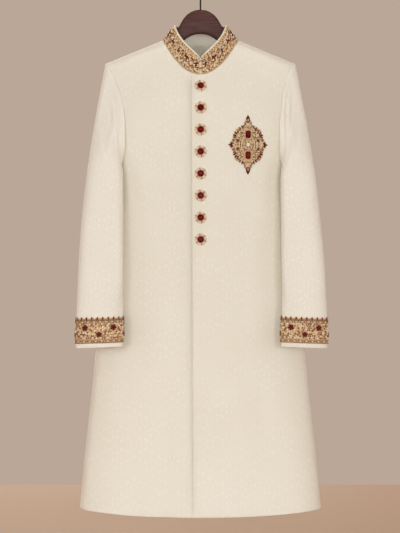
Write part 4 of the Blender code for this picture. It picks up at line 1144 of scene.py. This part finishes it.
def cuff_vine(work, length, front):
    """Vine that waves round the band, with a flower in each bend."""
    flowers = 2 * round(length / 0.058)
    pitch = length / flowers
    low, high = CUFF_FIELD
    middle, swing = (low + high) / 2, (high - low) * 0.24
    phase = math.pi * (np.linspace(0, length, 300, endpoint=False) - front) / pitch
    work.ring(length, middle - swing * np.cos(phase), 0.0004, "copper", 0.0013, 300)
    for step in range(flowers):
        place = front + step * pitch
        rise = 1 if step % 2 else -1
        up, radius = middle + rise * swing * 0.9, (0.0072, 0.0080)[step % 2]
        for turn in (0, 1):
            work.take(place - turn * length, up, radius * 0.95)
        work.flower(place, up, radius, 5, 0.4 + 0.7 * step, "maroon", "umber", "copper")
        for lean, tone in ((-1, "gold"), (1, "copper")):
            start = place + lean * 0.0088
            work.leaf(start, up - rise * 0.0030, math.atan2(-rise * 0.8, lean), 0.0105, 0.0042, 0.0009, tone,
                      0.12 * lean * rise)
            work.take(start + lean * 0.004, up - rise * 0.006, 0.0026)
        half = place + pitch / 2
        work.leaf(half, middle, rise * 1.2, 0.0085, 0.0034, 0.0009, "gold", 0.1)
        work.leaf(half, middle, math.pi - rise * 1.0, 0.0070, 0.0032, 0.0009, "copper", -0.1)
        work.dot(half, middle, 0.0019, 0.0014, "maroon")
        work.take(half, middle, 0.0024)
    work.taken += [(a + shift, b, r) for a, b, r in list(work.taken) for shift in (-length, length)]


def cuff_sprinkle(work, length, draw):
    """Small stitches over the space that is left, on a jittered lattice."""
    low, high = CUFF_FIELD
    rows, count = int((high - low) / SMALL_PITCH), int(length / SMALL_PITCH)
    for row in range(rows + 1):
        for column in range(count):
            along = length * (column + 0.5 + 0.5 * (row % 2)) / count + draw.uniform(-0.22, 0.22) * SMALL_PITCH
            up = low + (high - low) * (row + 0.5) / (rows + 1) + draw.uniform(-0.22, 0.22) * SMALL_PITCH
            small_stitch(work, along, up, draw)


def cuff_band(side, seed):
    surface = CuffSurface(side)
    length = surface.length
    scallops = round(length / SCALLOP_PITCH)
    along = np.arange(CUFF_COLUMNS) * length / CUFF_COLUMNS
    scallop = np.abs(np.sin(math.pi * along / length * scallops)) ** 0.8
    height = BAND_HEIGHT - SCALLOP_DROP + SCALLOP_HEIGHT * scallop
    grids = [surface(along, height * (1 - row / CUFF_ROWS)) for row in range(CUFF_ROWS + 1)]
    outer, inner = (np.array([points + normals * reach for points, normals in grids])
                    for reach in (SEAM_GAP + BAND_WALL, SEAM_GAP))
    name = "cuff_band_" + side
    dress(shell(name + "_cloth", outer, inner, True, GROUND, ("top", "bottom")), "gold_embroidery", name)
    work = Needlework(surface, SEAM_GAP + BAND_WALL)
    for up, radius, tone in CUFF_CORDS:
        work.ring(length, up, radius, tone, 0.0016)
    cuff_edges(work, length, scallops)
    cuff_vine(work, length, surface.front)
    cuff_sprinkle(work, length, random.Random(seed))
    work.finish(name + "_needlework")


# ---------------------------------------------------------------- collar
COLLAR_ROWS = 12
COLLAR_BINDING = 0.0019     # cream binding that shows under the piping
# Shares of the first 8.5 mm of the collar, which hold its rounded corner.
CORNER_REACH, CORNER_COLUMNS = 0.0085, np.array((0, 0.04, 0.12, 0.25, 0.42, 0.62, 0.82))


def collar_points(turn, level):
    """Outer face of the collar; a signed turn runs round the neck from the closure, level 0 to 1 up it."""
    turn, level = np.broadcast_arrays(np.asarray(turn, float), np.asarray(level, float))
    size = np.abs(turn)
    front = size <= math.pi / 2
    x_front, z_front = neck_seam(size, "front")
    x_back, z_back = neck_seam(math.pi - size, "back")
    base = np.where(front[..., None], body_points(x_front, z_front, "front"),
                    body_points(x_back, z_back, "back"))
    base[..., 2] += SEAM_GAP
    aside = np.sin(size)
    rise = 0.72 * aside + 0.28 * aside ** 6
    top_z = np.where(front, COLLAR_TOP_FRONT_Z + (COLLAR_TOP_Z - COLLAR_TOP_FRONT_Z) * rise,
                     COLLAR_TOP_BACK_Z + (COLLAR_TOP_Z - COLLAR_TOP_BACK_Z) * aside ** 2)
    top_y = np.where(front, COLLAR_TOP_FRONT_Y, -COLLAR_TOP_BACK_Y) * np.cos(size)
    top = np.stack((COLLAR_TOP_X * aside, top_y, top_z), axis=-1)
    points = base + (top - base) * level[..., None]
    points[..., 0] *= np.where(turn < 0, -1, 1)
    return points


class CollarSurface:
    """The collar: along its middle from the closure, the wearer's left positive, and up from its seam."""

    def __init__(self):
        self.turns = np.linspace(0, math.pi, 361)
        self.run = arc_lengths(collar_points(self.turns, 0.5))
        self.half = self.run[-1]
        self.heights = np.linalg.norm(collar_points(self.turns, 1.0) - collar_points(self.turns, 0.0), axis=1)

    def height(self, along):
        return np.interp(np.abs(along), self.run, self.heights)

    def smooth_point(self, along, up):
        turn = np.sign(along) * np.interp(np.abs(along), self.run, self.turns)
        return collar_points(turn, up / self.height(along))

    def point(self, along, up):
        """A point, kept on its own side of the closure."""
        points = self.smooth_point(along, up)
        short = (np.abs(points[..., 0]) < COLLAR_END_X) & (np.abs(along) < self.half / 2)
        points[..., 0] = np.where(short, np.copysign(COLLAR_END_X, along), points[..., 0])
        return points

    def __call__(self, along, up):
        step = 0.0006
        beyond = np.where(np.abs(along) + step > self.half, -1.0, 1.0) * np.where(along < 0, -1.0, 1.0)
        here = self.smooth_point(along, up)
        across = (self.smooth_point(along + step * beyond, up) - here) * beyond[..., None]
        turn = np.sign(along) * np.interp(np.abs(along), self.run, self.turns)
        upward = collar_points(turn, (up + step) / self.height(along)) - here
        normals = unit(np.cross(across, upward))
        flip = np.sign(np.sum(normals * here * np.array((1.0, 1.0, 0.0)), axis=-1))
        return self.point(along, up), normals * np.where(flip == 0, 1, flip)[..., None]


def collar_grid(surface):
    """Outer grid and normals of the collar, from its upper edge down, with the two rounded front corners."""
    first = float(np.interp(math.asin(COLLAR_END_X / NECK_X), surface.turns, surface.run))
    half = np.concatenate((first + CORNER_REACH * CORNER_COLUMNS,
                           np.linspace(first + CORNER_REACH, surface.half, 90)))
    along = np.concatenate((-half, half[-2::-1]))
    full = surface.height(along)
    end_x = COLLAR_END_X * COLLAR_TOP_X / NECK_X
    inward = np.where(np.abs(along) < surface.half / 2, np.abs(surface.point(along, full)[:, 0]) - end_x, 1.0)
    beyond = np.clip(COLLAR_CORNER - inward, 0.0, COLLAR_CORNER)
    height = full - COLLAR_CORNER + np.sqrt(COLLAR_CORNER ** 2 - beyond ** 2)
    levels = (height - COLLAR_BINDING) * np.linspace(1, 0, COLLAR_ROWS + 1)[:, None]
    grid = np.array([surface.point(along, level) for level in (height, *levels)])
    normals = grid_normals(grid, False, grid * np.array((1.0, 1.0, 0.0)))
    normals[:, (0, -1), 0] = 0.0
    return grid, unit(normals)


COLLAR_FIRST, COLLAR_MOTIF_PITCH = 0.012, 0.0262
COLLAR_MIDDLE = 0.50        # height of the vine, as a share of the collar's


def collar_motifs(work, surface, sign):
    """Cords, vine, clusters and beads of one half of the collar; sign is 1 on the wearer's left."""
    end = surface.half
    run = np.linspace(0.0032, end - 0.0004, 200)
    for up, radius in ((0.0014 + 0 * run, 0.0006), (surface.height(run) - 0.0030, 0.0005)):
        work.cord(np.stack((sign * run, up), axis=-1), radius, "gold", 0.0016)
    count = round((end - COLLAR_FIRST) / COLLAR_MOTIF_PITCH)
    pitch = (end - COLLAR_FIRST) / count
    vine = np.linspace(0.0040, end - 0.002, 160)
    swing = COLLAR_MIDDLE + 0.17 * np.cos(math.pi * (vine - COLLAR_FIRST) / pitch)
    work.cord(np.stack((sign * vine, surface.height(vine) * swing), axis=-1), 0.0006, "umber", 0.0013)
    for step in range(count + (sign > 0)):
        place = COLLAR_FIRST + step * pitch
        rise = 1 if step % 2 else -1
        up = float(surface.height(place)) * (COLLAR_MIDDLE - 0.05 * rise) + rise * 0.0030
        radius = (0.0074, 0.0088, 0.0068)[step % 3]
        work.take(sign * place, up, radius * 0.95)
        work.cluster(sign * place, up, radius, 0.3 + 1.7 * step)
        for lean in (-1, 1):
            start = place + lean * 0.0076
            if start < 0.004 or start > end - 0.010:
                continue
            pair = (step + lean) % 2
            low, high = up - rise * 0.0075, up + rise * 0.0065
            work.leaf(sign * start, low, math.atan2(-rise * 0.5, lean * sign), 0.0088, 0.0036, 0.0009,
                      ("copper", "umber")[pair], 0.1 * lean)
            work.leaf(sign * start, high, math.atan2(rise * 0.5, lean * sign), 0.0070, 0.0032, 0.0009,
                      ("gold", "copper")[pair], -0.1 * lean)
            work.take(sign * (start + lean * 0.003), low, 0.0024)
    beads = round(end / 0.0045)
    for step in range(beads):
        place = 0.0042 + (end - 0.0050) * step / beads
        upper = float(surface.height(place)) - 0.0052
        for up, tone in (
            (0.0040, ("cream", "copper", "maroon")[step % 3]), (upper, ("umber", "cream")[step % 2]),
        ):
            work.dot(sign * place, up, 0.0013, 0.0011, tone)
            work.take(sign * place, up, 0.0012)


def collar_sprinkle(work, surface, sign, draw):
    """Small stitches over the space that is left on one half of the collar."""
    end, rows = surface.half, 8
    count = int((end - 0.006) / SMALL_PITCH)
    for row in range(rows):
        for column in range(count):
            along = (0.0045 + (end - 0.0065) * (column + 0.25 + 0.5 * (row % 2)) / count
                     + draw.uniform(-0.001, 0.001))
            level = 0.14 + 0.70 * row / (rows - 1) + draw.uniform(-0.02, 0.02)
            if along > 0.0035:
                small_stitch(work, sign * along, level * float(surface.height(along)), draw)


def collar():
    surface = CollarSurface()
    outer, normals = collar_grid(surface)
    band = shell("collar_cloth", outer, outer - COLLAR_WALL * normals, False, GROUND, ("top",))
    band.data.materials.append(LINING)
    band.data.materials.append(PIPING)
    row = outer.shape[1] - 1
    count = (outer.shape[0] - 1) * row
    tones = np.zeros(len(band.data.polygons), np.int32)
    tones[count:2 * count] = 1
    tones[:row] = tones[2 * count:2 * count + 4 * row] = 2
    band.data.polygons.foreach_set("material_index", tones)
    dress(band, "gold_embroidery", "collar")
    work = Needlework(surface, 0.0)
    for sign in (-1, 1):
        collar_motifs(work, surface, sign)
    for seed, sign in ((21, -1), (22, 1)):
        collar_sprinkle(work, surface, sign, random.Random(seed))
    work.finish("collar_needlework")
    return outer, normals


# ---------------------------------------------------------------- cords
def tube_mesh(name, route, radius, material, sides):
    """Round cord along a route, with its own places along and around in metres."""
    route = np.asarray(route, float)
    way = unit(np.gradient(route, axis=0))
    normal = unit(np.cross(way[0], (0.13, 0.31, 0.94)))
    around = rounds(sides)
    grid = []
    for place, direction in zip(route, way):
        normal = unit(normal - direction * (normal @ direction))
        a, b = polar(radius, around[:, None])
        grid.append(place + a * normal + b * np.cross(direction, normal))
    run = arc_lengths(route)
    uvs = []
    for near, far in zip(run, run[1:]):
        for low in radius * around:
            high = low + radius * 2 * math.pi / sides
            uvs += [(near, low), (near, high), (far, high), (far, low)]
    uvs += [(0.0, 0.0)] * (2 * sides)
    return mesh_object(name, np.concatenate(grid), ring_faces(len(route), sides), (material,), uvs)


def collar_piping(outer, normals):
    middle = outer - normals * COLLAR_WALL / 2
    along = unit(np.gradient(middle[0], axis=0))
    upward = unit(np.cross(normals[0], along))
    upward *= np.sign(upward[len(upward) // 2][2])
    top = middle[0] + upward * (PIPING_RADIUS + SEAM_GAP)
    ends = [middle[1:, 0], middle[1:, -1]]
    for index, end in zip((0, -1), ends):
        closure_x = math.copysign(PIPING_RADIUS + SEAM_GAP / 2, outer[1, index, 0])
        top[index, 0] = end[:, 0] = closure_x
    route = np.concatenate((ends[0][::-1], top, ends[1]))
    dress(tube_mesh("collar_piping_cord", route, PIPING_RADIUS, PIPING, 10), "cream_piping", "collar_piping")


# ---------------------------------------------------------------- buttons
def turned_mesh(profile, sides):
    """Points and faces of a profile of (radius, height) turned about Z."""
    radii, heights = np.array(profile).T[..., None]
    x, y = polar(radii, rounds(sides))
    points = np.stack((x, y, np.broadcast_to(heights, x.shape)), axis=-1).reshape(-1, 3)
    return points, ring_faces(len(profile), sides)


def ball(place, radii, rings, sides):
    """Ball with a radius for each axis."""
    angles = math.pi * (np.arange(rings + 1) + 0.4) / (rings + 0.8)
    points, faces = turned_mesh(np.stack((np.sin(angles), -np.cos(angles)), axis=-1), sides)
    return points * np.array(radii) + np.array(place), faces


def merge(parts):
    """One mesh from several (points, faces, tone)."""
    points, faces, tones = [], [], []
    count = 0
    for part_points, part_faces, tone in parts:
        points.append(part_points)
        faces += [tuple(count + corner for corner in face) for face in part_faces]
        tones += [tone] * len(part_faces)
        count += len(part_points)
    return np.concatenate(points), faces, tones


def placed_matrix(x, z, out):
    """Place on the front of the coat, so far out of it, with its own Z outward."""
    place, normal = on_front(np.array([x]), np.array([z]))
    axis_z = Vector(normal[0])
    axis_x = Vector((0, 0, 1)).cross(axis_z).normalized()
    rotation = Matrix((axis_x, axis_z.cross(axis_x), axis_z)).transposed().to_4x4()
    return Matrix.Translation(Vector(place[0]) + axis_z * out) @ rotation


# Radius and height of the dish that holds a button's petals, beads and stone.
DISH = ((0.0137, 0.0), (0.0141, 0.0009), (0.0132, 0.0022), (0.0100, 0.0028), (0.0082, 0.0026), (0.0076, 0.0022))
PETALS, PETAL_RING, PETAL_RADII = 18, (0.0110, 0.0026), (0.0031, 0.00165, 0.0015)
RIM_BEAD, RIM_RING = 0.0010, (0.0130, 0.0024)
BEZEL_BEADS, BEZEL_BEAD, BEZEL_RING = 22, 0.00095, (0.0077, 0.0034)
BUTTON_FINISHES = (GOLD_BEAD, CREAM_BEAD, RUBY, BRONZE_BEAD)
GOLD_TONE, CREAM_TONE, BRONZE_TONE = 0, 1, 3


def button_parts():
    """Setting of a button: a dished disc, a ring of petals, a ring of beads and a bezel."""
    def ring_bead(ring, radius, angle):
        return ball((*polar(ring[0], angle), ring[1]), [radius] * 3, 4, 8)

    parts = [(*turned_mesh(DISH, 48), GOLD_TONE)]
    for step, angle in enumerate(rounds(PETALS)):
        c, s = polar(1.0, angle)
        points, faces = ball((PETAL_RING[0], 0, PETAL_RING[1]), PETAL_RADII, 5, 10)
        points = points @ np.array(((c, s, 0), (-s, c, 0), (0, 0, 1)))
        parts.append((points, faces, (GOLD_TONE, CREAM_TONE, BRONZE_TONE)[step % 3]))
        parts.append((*ring_bead(RIM_RING, RIM_BEAD, angle + math.pi / PETALS), CREAM_TONE))
    for angle in rounds(BEZEL_BEADS):
        parts.append((*ring_bead(BEZEL_RING, BEZEL_BEAD, angle), BRONZE_TONE))
    return merge(parts)


# Rings of a cut stone, from its girdle to its table: share of its half width and of its height.
STONE_RINGS = ((0.93, 0.0), (1.0, 0.30), (0.80, 0.74), (0.48, 1.0))
FACET_EDGE = 12             # degrees; smaller than SHARP_EDGE, as facets meet at shallow angles


def cut_stone(name, node, half_x, half_y, low, high, sides, power, matrix):
    """Cut stone in the outline of a superellipse."""
    c, s = polar(1.0, rounds(sides) + math.pi / sides)
    reach = 1.0 / (np.abs(c) ** power + np.abs(s) ** power) ** (1 / power)
    points = [np.stack((half_x * share * reach * c, half_y * share * reach * s,
                        np.full(sides, low + (high - low) * level)), axis=-1) for share, level in STONE_RINGS]
    faces = ring_faces(len(STONE_RINGS), sides)
    stone = mesh_object(name, np.concatenate(points), faces, (RUBY,), matrix=matrix, sharp=FACET_EDGE)
    dress(stone, "ruby_glass", node)


def buttons():
    points, faces, tones = button_parts()
    for index in range(BUTTONS):
        matrix = placed_matrix(BUTTON_X, BUTTON_TOP_Z - index * BUTTON_PITCH, SEAM_GAP)
        name = f"button_{index + 1}"
        setting = mesh_object(name + "_filigree", points, faces, BUTTON_FINISHES, None, tones, matrix)
        dress(setting, "antique_gold", name + "_setting")
        cut_stone(name + "_ruby", name + "_stone", 0.0072, 0.0072, 0.0025, 0.0068, 12, 2.0, matrix)


# ---------------------------------------------------------------- medallion
def medallion_surface(along, up):
    return on_front(MEDALLION_X + along, MEDALLION_Z + up)


def lozenge(angle):
    """Lobed diamond of the patch, as shares of its half width and half height, with fine scallops."""
    across, upward = polar(1.0, angle)
    degrees = np.degrees(np.arctan2(np.abs(upward), np.abs(across)))
    reach = along_curve(np.arange(0.0, 91.0, 10.0), np.array(MEDALLION_REACH), degrees)
    reach = reach + 0.030 * (np.abs(np.sin(np.radians(degrees) * 12)) - 0.6)
    return across * reach, upward * reach


def scroll(x, y, start_radius, end_radius, start_angle, end_angle, steps=26):
    share = np.linspace(0, 1, steps)
    across, upward = polar(start_radius + (end_radius - start_radius) * share,
                           start_angle + (end_angle - start_angle) * share)
    return np.stack((x + across, y + upward), axis=-1)


def bow(half_x, half_y, end_angle):
    """Bow round the middle, from the patch's own axis to an angle."""
    across, upward = polar(1.0, np.linspace(0, end_angle, 20))
    return np.stack((half_x * across, half_y * upward), axis=-1)


# One quarter of the patch, in millimetres from its middle, mirrored to the others: leaves, knots and cords.
PATCH_LEAVES = rows_of(
    "x y angle length width tone",
    (33.0, 1.8, 0.42, 9.5, 4.2, "umber"), (31.0, 7.0, 0.75, 8.0, 3.6, "copper"),
    (28.5, 11.5, 0.10, 8.5, 3.8, "copper"), (28.0, 14.5, 0.62, 8.0, 3.6, "umber"),
    (25.5, 20.0, 0.32, 10.5, 4.8, "maroon"), (24.0, 22.5, 0.85, 11.0, 4.8, "umber"),
    (22.5, 24.5, 1.40, 10.0, 4.2, "maroon"), (25.0, 18.0, -0.15, 7.5, 3.4, "copper"),
    (17.5, 31.5, 0.55, 8.0, 3.6, "copper"), (16.5, 33.5, 1.10, 8.5, 3.8, "umber"),
    (13.5, 35.0, 1.65, 7.5, 3.2, "copper"), (11.5, 38.5, 1.05, 7.5, 3.6, "umber"),
    (8.5, 40.5, 1.45, 7.0, 3.2, "maroon"), (5.0, 46.5, 1.10, 7.5, 3.4, "copper"),
    (12.5, 18.5, 0.7, 7.0, 3.0, "gold"), (18.5, 14.5, -0.6, 6.5, 3.0, "copper"),
    (15.0, 25.5, 1.9, 6.5, 3.0, "umber"), (9.5, 36.5, 2.2, 6.0, 2.8, "gold"),
    (26.5, 5.5, 2.4, 6.0, 2.6, "umber"), (19.5, 7.5, 0.9, 6.0, 2.6, "umber"),
)
PATCH_KNOTS = rows_of(
    "x y radius tone",
    (21.0, 20.0, 1.8, "cream"), (24.5, 10.5, 1.6, "maroon"), (14.0, 31.0, 1.6, "cream"),
    (7.0, 43.5, 1.4, "cream"), (18.2, 24.8, 1.3, "umber"), (29.8, 5.0, 1.3, "cream"),
    (22.2, 14.6, 1.2, "cream"), (12.2, 13.4, 1.3, "umber"), (19.8, 3.2, 1.3, "cream"),
    (10.4, 33.2, 1.2, "maroon"), (18.6, 30.2, 1.2, "cream"), (7.6, 12.6, 1.2, "umber"),
    (4.6, 39.6, 1.2, "umber"), (24.8, 1.6, 1.3, "umber"), (16.0, 10.6, 1.2, "cream"), (4.4, 50.6, 1.2, "cream"),
)
PATCH_CORDS = (
    (scroll(21, 20, 5.6, 2.4, 2.4, 6.2), 0.7, "umber"), (scroll(24.5, 10.5, 4.6, 2.2, -2.6, 2.0), 0.6, "umber"),
    (scroll(14, 31, 5.0, 2.2, 3.4, 7.6), 0.6, "umber"), (scroll(7, 43.5, 3.6, 1.8, 3.6, 7.4), 0.6, "umber"),
    (bow(15.5, 24, 1.15), 0.8, "gold"), (bow(17.6, 27, 1.1), 0.6, "umber"),
    (np.array(((9.5, 24), (10.5, 30), (9.0, 36), (4.0, 41), (0, 44))), 0.7, "gold"),
    (np.array(((23, 2), (27, 4.2), (31, 4.4), (35, 2.4))), 0.6, "gold"),
)
MM = 0.001
PATCH_GROUND_SHARE, PATCH_RIM_SHARE = 0.75, 0.55      # of the solid's thickness
PATCH_SHARES = (1.0, 0.97, 0.8, 0.6, 0.4, 0.2, 0.02)
PATCH_INSET = 0.955         # of the solid's outline, which the stitched edge fills up


def patch_quarter(work, flip_x, flip_y):
    for x, y, angle, length, width, tone in PATCH_LEAVES:
        angle = math.atan2(math.sin(angle) * flip_y, math.cos(angle) * flip_x)
        work.leaf(x * MM * flip_x, y * MM * flip_y, angle, length * MM, width * MM, 0.0009, tone)
    for x, y, radius, tone in PATCH_KNOTS:
        work.dot(x * MM * flip_x, y * MM * flip_y, radius * MM, radius * MM * 0.9, tone)
    for path, radius, tone in PATCH_CORDS:
        work.cord(path * MM * np.array((flip_x, flip_y)), radius * MM, tone, 0.0010)


def patch_tips(work, flip):
    """Sprays at the side and upper or lower tips of the patch, and the frame of a stone."""
    tip, rise = (0, math.pi)[flip < 0], math.pi / 2 * flip
    for lean, length, tone in ((0.0, 12.0, "maroon"), (0.62, 8.5, "umber"), (-0.62, 8.5, "umber")):
        work.leaf(flip * 34.0 * MM, 0.0, tip + lean * flip, length * MM, 5.0 * MM, 0.0011, tone)
    work.dot(flip * 34.5 * MM, 0.0, 0.0016, 0.0016, "cream")
    for y, lean, length, width, height, tone in (
        (49.8, 0.0, 19.0, 9.0, 0.0011, "maroon"), (49.8, 0.70, 9.5, 4.4, 0.0011, "copper"),
        (49.8, -0.70, 9.5, 4.4, 0.0011, "copper"), (52.0, 0.0, 10.5, 5.4, 0.0019, "copper"),
        (53.5, 0.0, 7.0, 3.6, 0.0024, "cream"),
    ):
        work.leaf(0.0, flip * y * MM, rise + lean, length * MM, width * MM, height, tone)
    work.dot(0.0, flip * 48.0 * MM, 0.0019, 0.0017, "cream")
    work.dot(0.0, flip * 40.5 * MM, 0.0016, 0.0015, "umber")
    across, upward = (np.copysign(np.abs(share) ** 0.6, share) for share in polar(1.0, rounds(48)))
    frame_path = np.stack((8.6 * across, flip * STONE_Z / MM + 11.2 * upward), axis=-1)
    work.cord(frame_path * MM, 0.0008, "gold", 0.0011, closed=True)


def patch_fill(work, draw):
    """Knots wherever a random place is far enough from all others."""
    taken = np.array([place[:, :2].mean(axis=0) for place in work.places])
    for _ in range(1500):
        angle, share = draw.uniform(0, 2 * math.pi), math.sqrt(draw.random()) * 0.90
        x, y = lozenge(np.array(angle))
        x, y = float(x) * share * MEDALLION_HALF_X, float(y) * share * MEDALLION_HALF_Z
        in_stone = abs(x) < 0.0092 and abs(abs(y) - STONE_Z) < 0.0118
        if in_stone or math.hypot(x, y) < 0.005:
            continue
        if np.min(np.hypot(taken[:, 0] - x, taken[:, 1] - y)) > 0.0027:
            work.dot(x, y, 0.0012, 0.0009, draw.choice(("cream", "cream", "cream", "umber", "copper")))
            taken = np.concatenate((taken, [(x, y)]))


def medallion():
    shape_x, shape_y = lozenge(rounds(180))
    rings = [medallion_surface(shape_x * share * MEDALLION_HALF_X * PATCH_INSET,
                               shape_y * share * MEDALLION_HALF_Z * PATCH_INSET) for share in PATCH_SHARES]
    heights = [PATCH_RIM_SHARE] + [PATCH_GROUND_SHARE] * (len(PATCH_SHARES) - 1)
    outer = [points + normals * (PATCH_GAP + PATCH_THICKNESS * height)
             for (points, normals), height in zip(rings, heights)]
    inner = [points + normals * PATCH_GAP for points, normals in rings]
    dress(shell("medallion_ground", np.array(outer), np.array(inner), True, PATCH_GROUND, ("top",)),
          "gold_embroidery", "medallion")
    work = Needlework(medallion_surface, PATCH_GAP + PATCH_THICKNESS * PATCH_GROUND_SHARE)
    for flip_x, flip_y in ((1, 1), (-1, 1), (1, -1), (-1, -1)):
        patch_quarter(work, flip_x, flip_y)
    for flip in (1, -1):
        patch_tips(work, flip)
    for step in range(12):
        angle = 2 * math.pi * (step + 0.5) / 12
        work.leaf(*polar(4.4 * MM, angle), angle, 5.0 * MM, 2.5 * MM, 0.0010, ("copper", "gold")[step % 2])
    for radius, tone in ((10.4, "gold"), (12.4, "umber")):
        work.cord(scroll(0, 0, radius, radius, 0, 2 * math.pi, 40)[:-1] * MM, 0.0006, tone, 0.0012, closed=True)
    patch_fill(work, random.Random(5))
    work.finish("medallion_needlework")
    out = PATCH_GAP + PATCH_THICKNESS + SEAM_GAP
    for name, z in (("medallion_stone_top", STONE_Z), ("medallion_stone_bottom", -STONE_Z)):
        matrix = placed_matrix(MEDALLION_X, MEDALLION_Z + z, out)
        cut_stone(name + "_cut", name, 0.0062, 0.0087, 0.0, 0.0052, 16, 5.0, matrix)
    points, faces = ball((0, 0, 0.0038), (0.0046, 0.0046, 0.0046 * 0.83), 14, 24)
    matrix = placed_matrix(MEDALLION_X, MEDALLION_Z, out)
    drop = mesh_object("medallion_pearl_drop", points, faces, (PEARL,), matrix=matrix)
    dress(drop, "pearl", "medallion_pearl")


# ---------------------------------------------------------------- hanger
ARM_SIDES, ARM_STEPS, ARM_ROUNDNESS = 40, 90, 0.8
HOOK_STEM_Z, HOOK_NECK_Z = (-0.066, -0.0565), -0.0520
HOOK_TURN = 220             # degrees of the bend
HOOK_STEPS, HOOK_SIDES = 140, 16


def hanger():
    half = np.linspace(0, HANGER["x"][-1], ARM_STEPS)
    across, upward = (np.copysign(np.abs(share) ** ARM_ROUNDNESS, share)
                      for share in polar(1.0, rounds(ARM_SIDES)))
    loops = []
    for x in np.concatenate((-half[:0:-1], half)):
        top, bottom, thick = (np.interp(abs(x), HANGER["x"], HANGER[name])
                              for name in ("top", "bottom", "half_thickness"))
        z = (top + bottom) / 2 + (top - bottom) / 2 * upward
        loops.append(np.stack((np.full(ARM_SIDES, x), thick * across, z), axis=-1))
    piece = mesh_object("hanger_wood", np.concatenate(loops), ring_faces(len(loops), ARM_SIDES), (WOOD,))
    dress(piece, "dark_wood", "hanger")


def hook():
    """Wire from the hanger up its stem, aside to the bend and round it."""
    bend_z = HOOK_WIRE - HOOK_BEND
    route = [(0, 0, z) for z in (HANGER_TOP_Z - 0.002, *HOOK_STEM_Z)]
    for share in np.linspace(0, 1, 9):
        rise = (bend_z - 0.004 - HOOK_NECK_Z) * share
        route.append((-HOOK_BEND * float(ease(share)) * 0.985, 0, HOOK_NECK_Z + rise))
    for share in np.linspace(0, 1, 19):
        x, z = polar(HOOK_BEND, math.pi - math.radians(HOOK_TURN) * share)
        route.append((x, 0, bend_z + z))
    route = np.array(route)
    run = arc_lengths(route)
    at = np.linspace(0, run[-1], HOOK_STEPS)
    route = np.stack([along_curve(run, axis, at) for axis in route.T], axis=-1)
    dress(tube_mesh("hanger_hook_wire", route, HOOK_WIRE, METAL, HOOK_SIDES), "dark_metal", "hanger_hook")


# ---------------------------------------------------------------- the coat
GRIDS = {
    "front_left": body_panel("front_left", LAP_TOP_X, LAP_HEM_X),
    "front_right": body_panel("front_right", -UNDERLAP_X, -UNDERLAP_X, UNDERLAP_RISE),
    "back_left": body_panel("back_left", SEAM_GAP / 2, SEAM_GAP / 2),
    "back_right": body_panel("back_right", SEAM_GAP / 2, SEAM_GAP / 2),
}
for side, seed in (("left", 11), ("right", 12)):
    sleeve(side, GRIDS["front_" + side], GRIDS["back_" + side])
    cuff_band(side, seed)
collar_piping(*collar())
buttons()
medallion()
hanger()
hook()


# ---------------------------------------------------------------- floor, light and camera
FLOOR_Z, FLOOR_NEAR, FLOOR_FAR, FLOOR_HALF = -1.345, -1.7, 1.35, 4.0
EYE = (-0.001, -4.5, -0.679)
VIEW_HEIGHT = 1.2515        # metres that the picture's longer side shows, at the coat
SENSOR = 36.0


def stage_floor():
    sides = ((-1, FLOOR_NEAR), (1, FLOOR_NEAR), (1, FLOOR_FAR), (-1, FLOOR_FAR))
    corners = [(side * FLOOR_HALF, y, FLOOR_Z) for side, y in sides]
    finish = Finish("floor_stone", colour(180, 152, 128), 0.75)
    mesh_object("floor", corners, [(0, 1, 2, 3)], (finish.material,))


def area_light(name, place, target, size, power, tint, spread=180):
    data = bpy.data.lights.new(name, "AREA")
    data.spread = math.radians(spread)
    data.shape, data.size, data.energy, data.color = "SQUARE", size, power, tint
    item = bpy.data.objects.new(name, data)
    item.location = place
    item.rotation_mode = "QUATERNION"
    item.rotation_quaternion = (Vector(target) - Vector(place)).to_track_quat("-Z", "Y")
    bpy.context.scene.collection.objects.link(item)


stage_floor()
# Name, place, target, size in metres, power in watts, colour and, for the two narrow ones, spread in degrees.
for light in (
    ("key", (-2.6, -4.6, 0.1), (0, 0, -1.15), 1.5, 51, (0.84, 0.95, 1.0)),
    ("fill", (2.3, -4.6, -0.5), (0, 0, -1.25), 1.4, 38, (0.84, 0.95, 1.0)),
    ("front", (0.05, -4.9, -0.7), (0, 0, -1.05), 0.7, 38, (0.91, 0.95, 0.93)),
    ("top", (0.2, -1.8, 1.7), (0, 0, 0.05), 1.0, 0.46, (0.86, 0.95, 1.0), 24),
    ("hem", (0.0, -4.6, -0.9), (0, 0, -1.60), 1.0, 0.95, (0.90, 0.95, 1.0), 22),
    ("edge", (-3.8, -2.0, -0.75), (0, 0, -0.80), 1.4, 19, (0.92, 0.96, 0.98)),
    ("edge", (3.8, -2.0, -0.75), (0, 0, -0.80), 1.4, 19, (0.92, 0.96, 0.98)),
    ("rim", (-0.8, 3.6, 1.6), (0, 0, -0.6), 3.0, 110, (1.0, 0.97, 0.94)),
):
    area_light(*light)
world = bpy.data.worlds.new("studio")
bpy.context.scene.world = world
world.use_nodes = True
backdrop = world.node_tree.nodes["Background"]
backdrop.inputs["Color"].default_value = (*colour(186, 167, 151), 1.0)
backdrop.inputs["Strength"].default_value = 1.0
bpy.context.scene.view_settings.view_transform = "Standard"

camera = bpy.data.cameras.new("camera")
camera.sensor_width = SENSOR
camera.lens = SENSOR * -EYE[1] / VIEW_HEIGHT
eye = bpy.data.objects.new("camera", camera)
eye.location = EYE
eye.rotation_euler = (math.radians(90), 0, 0)
bpy.context.scene.collection.objects.link(eye)
bpy.context.scene.camera = eye
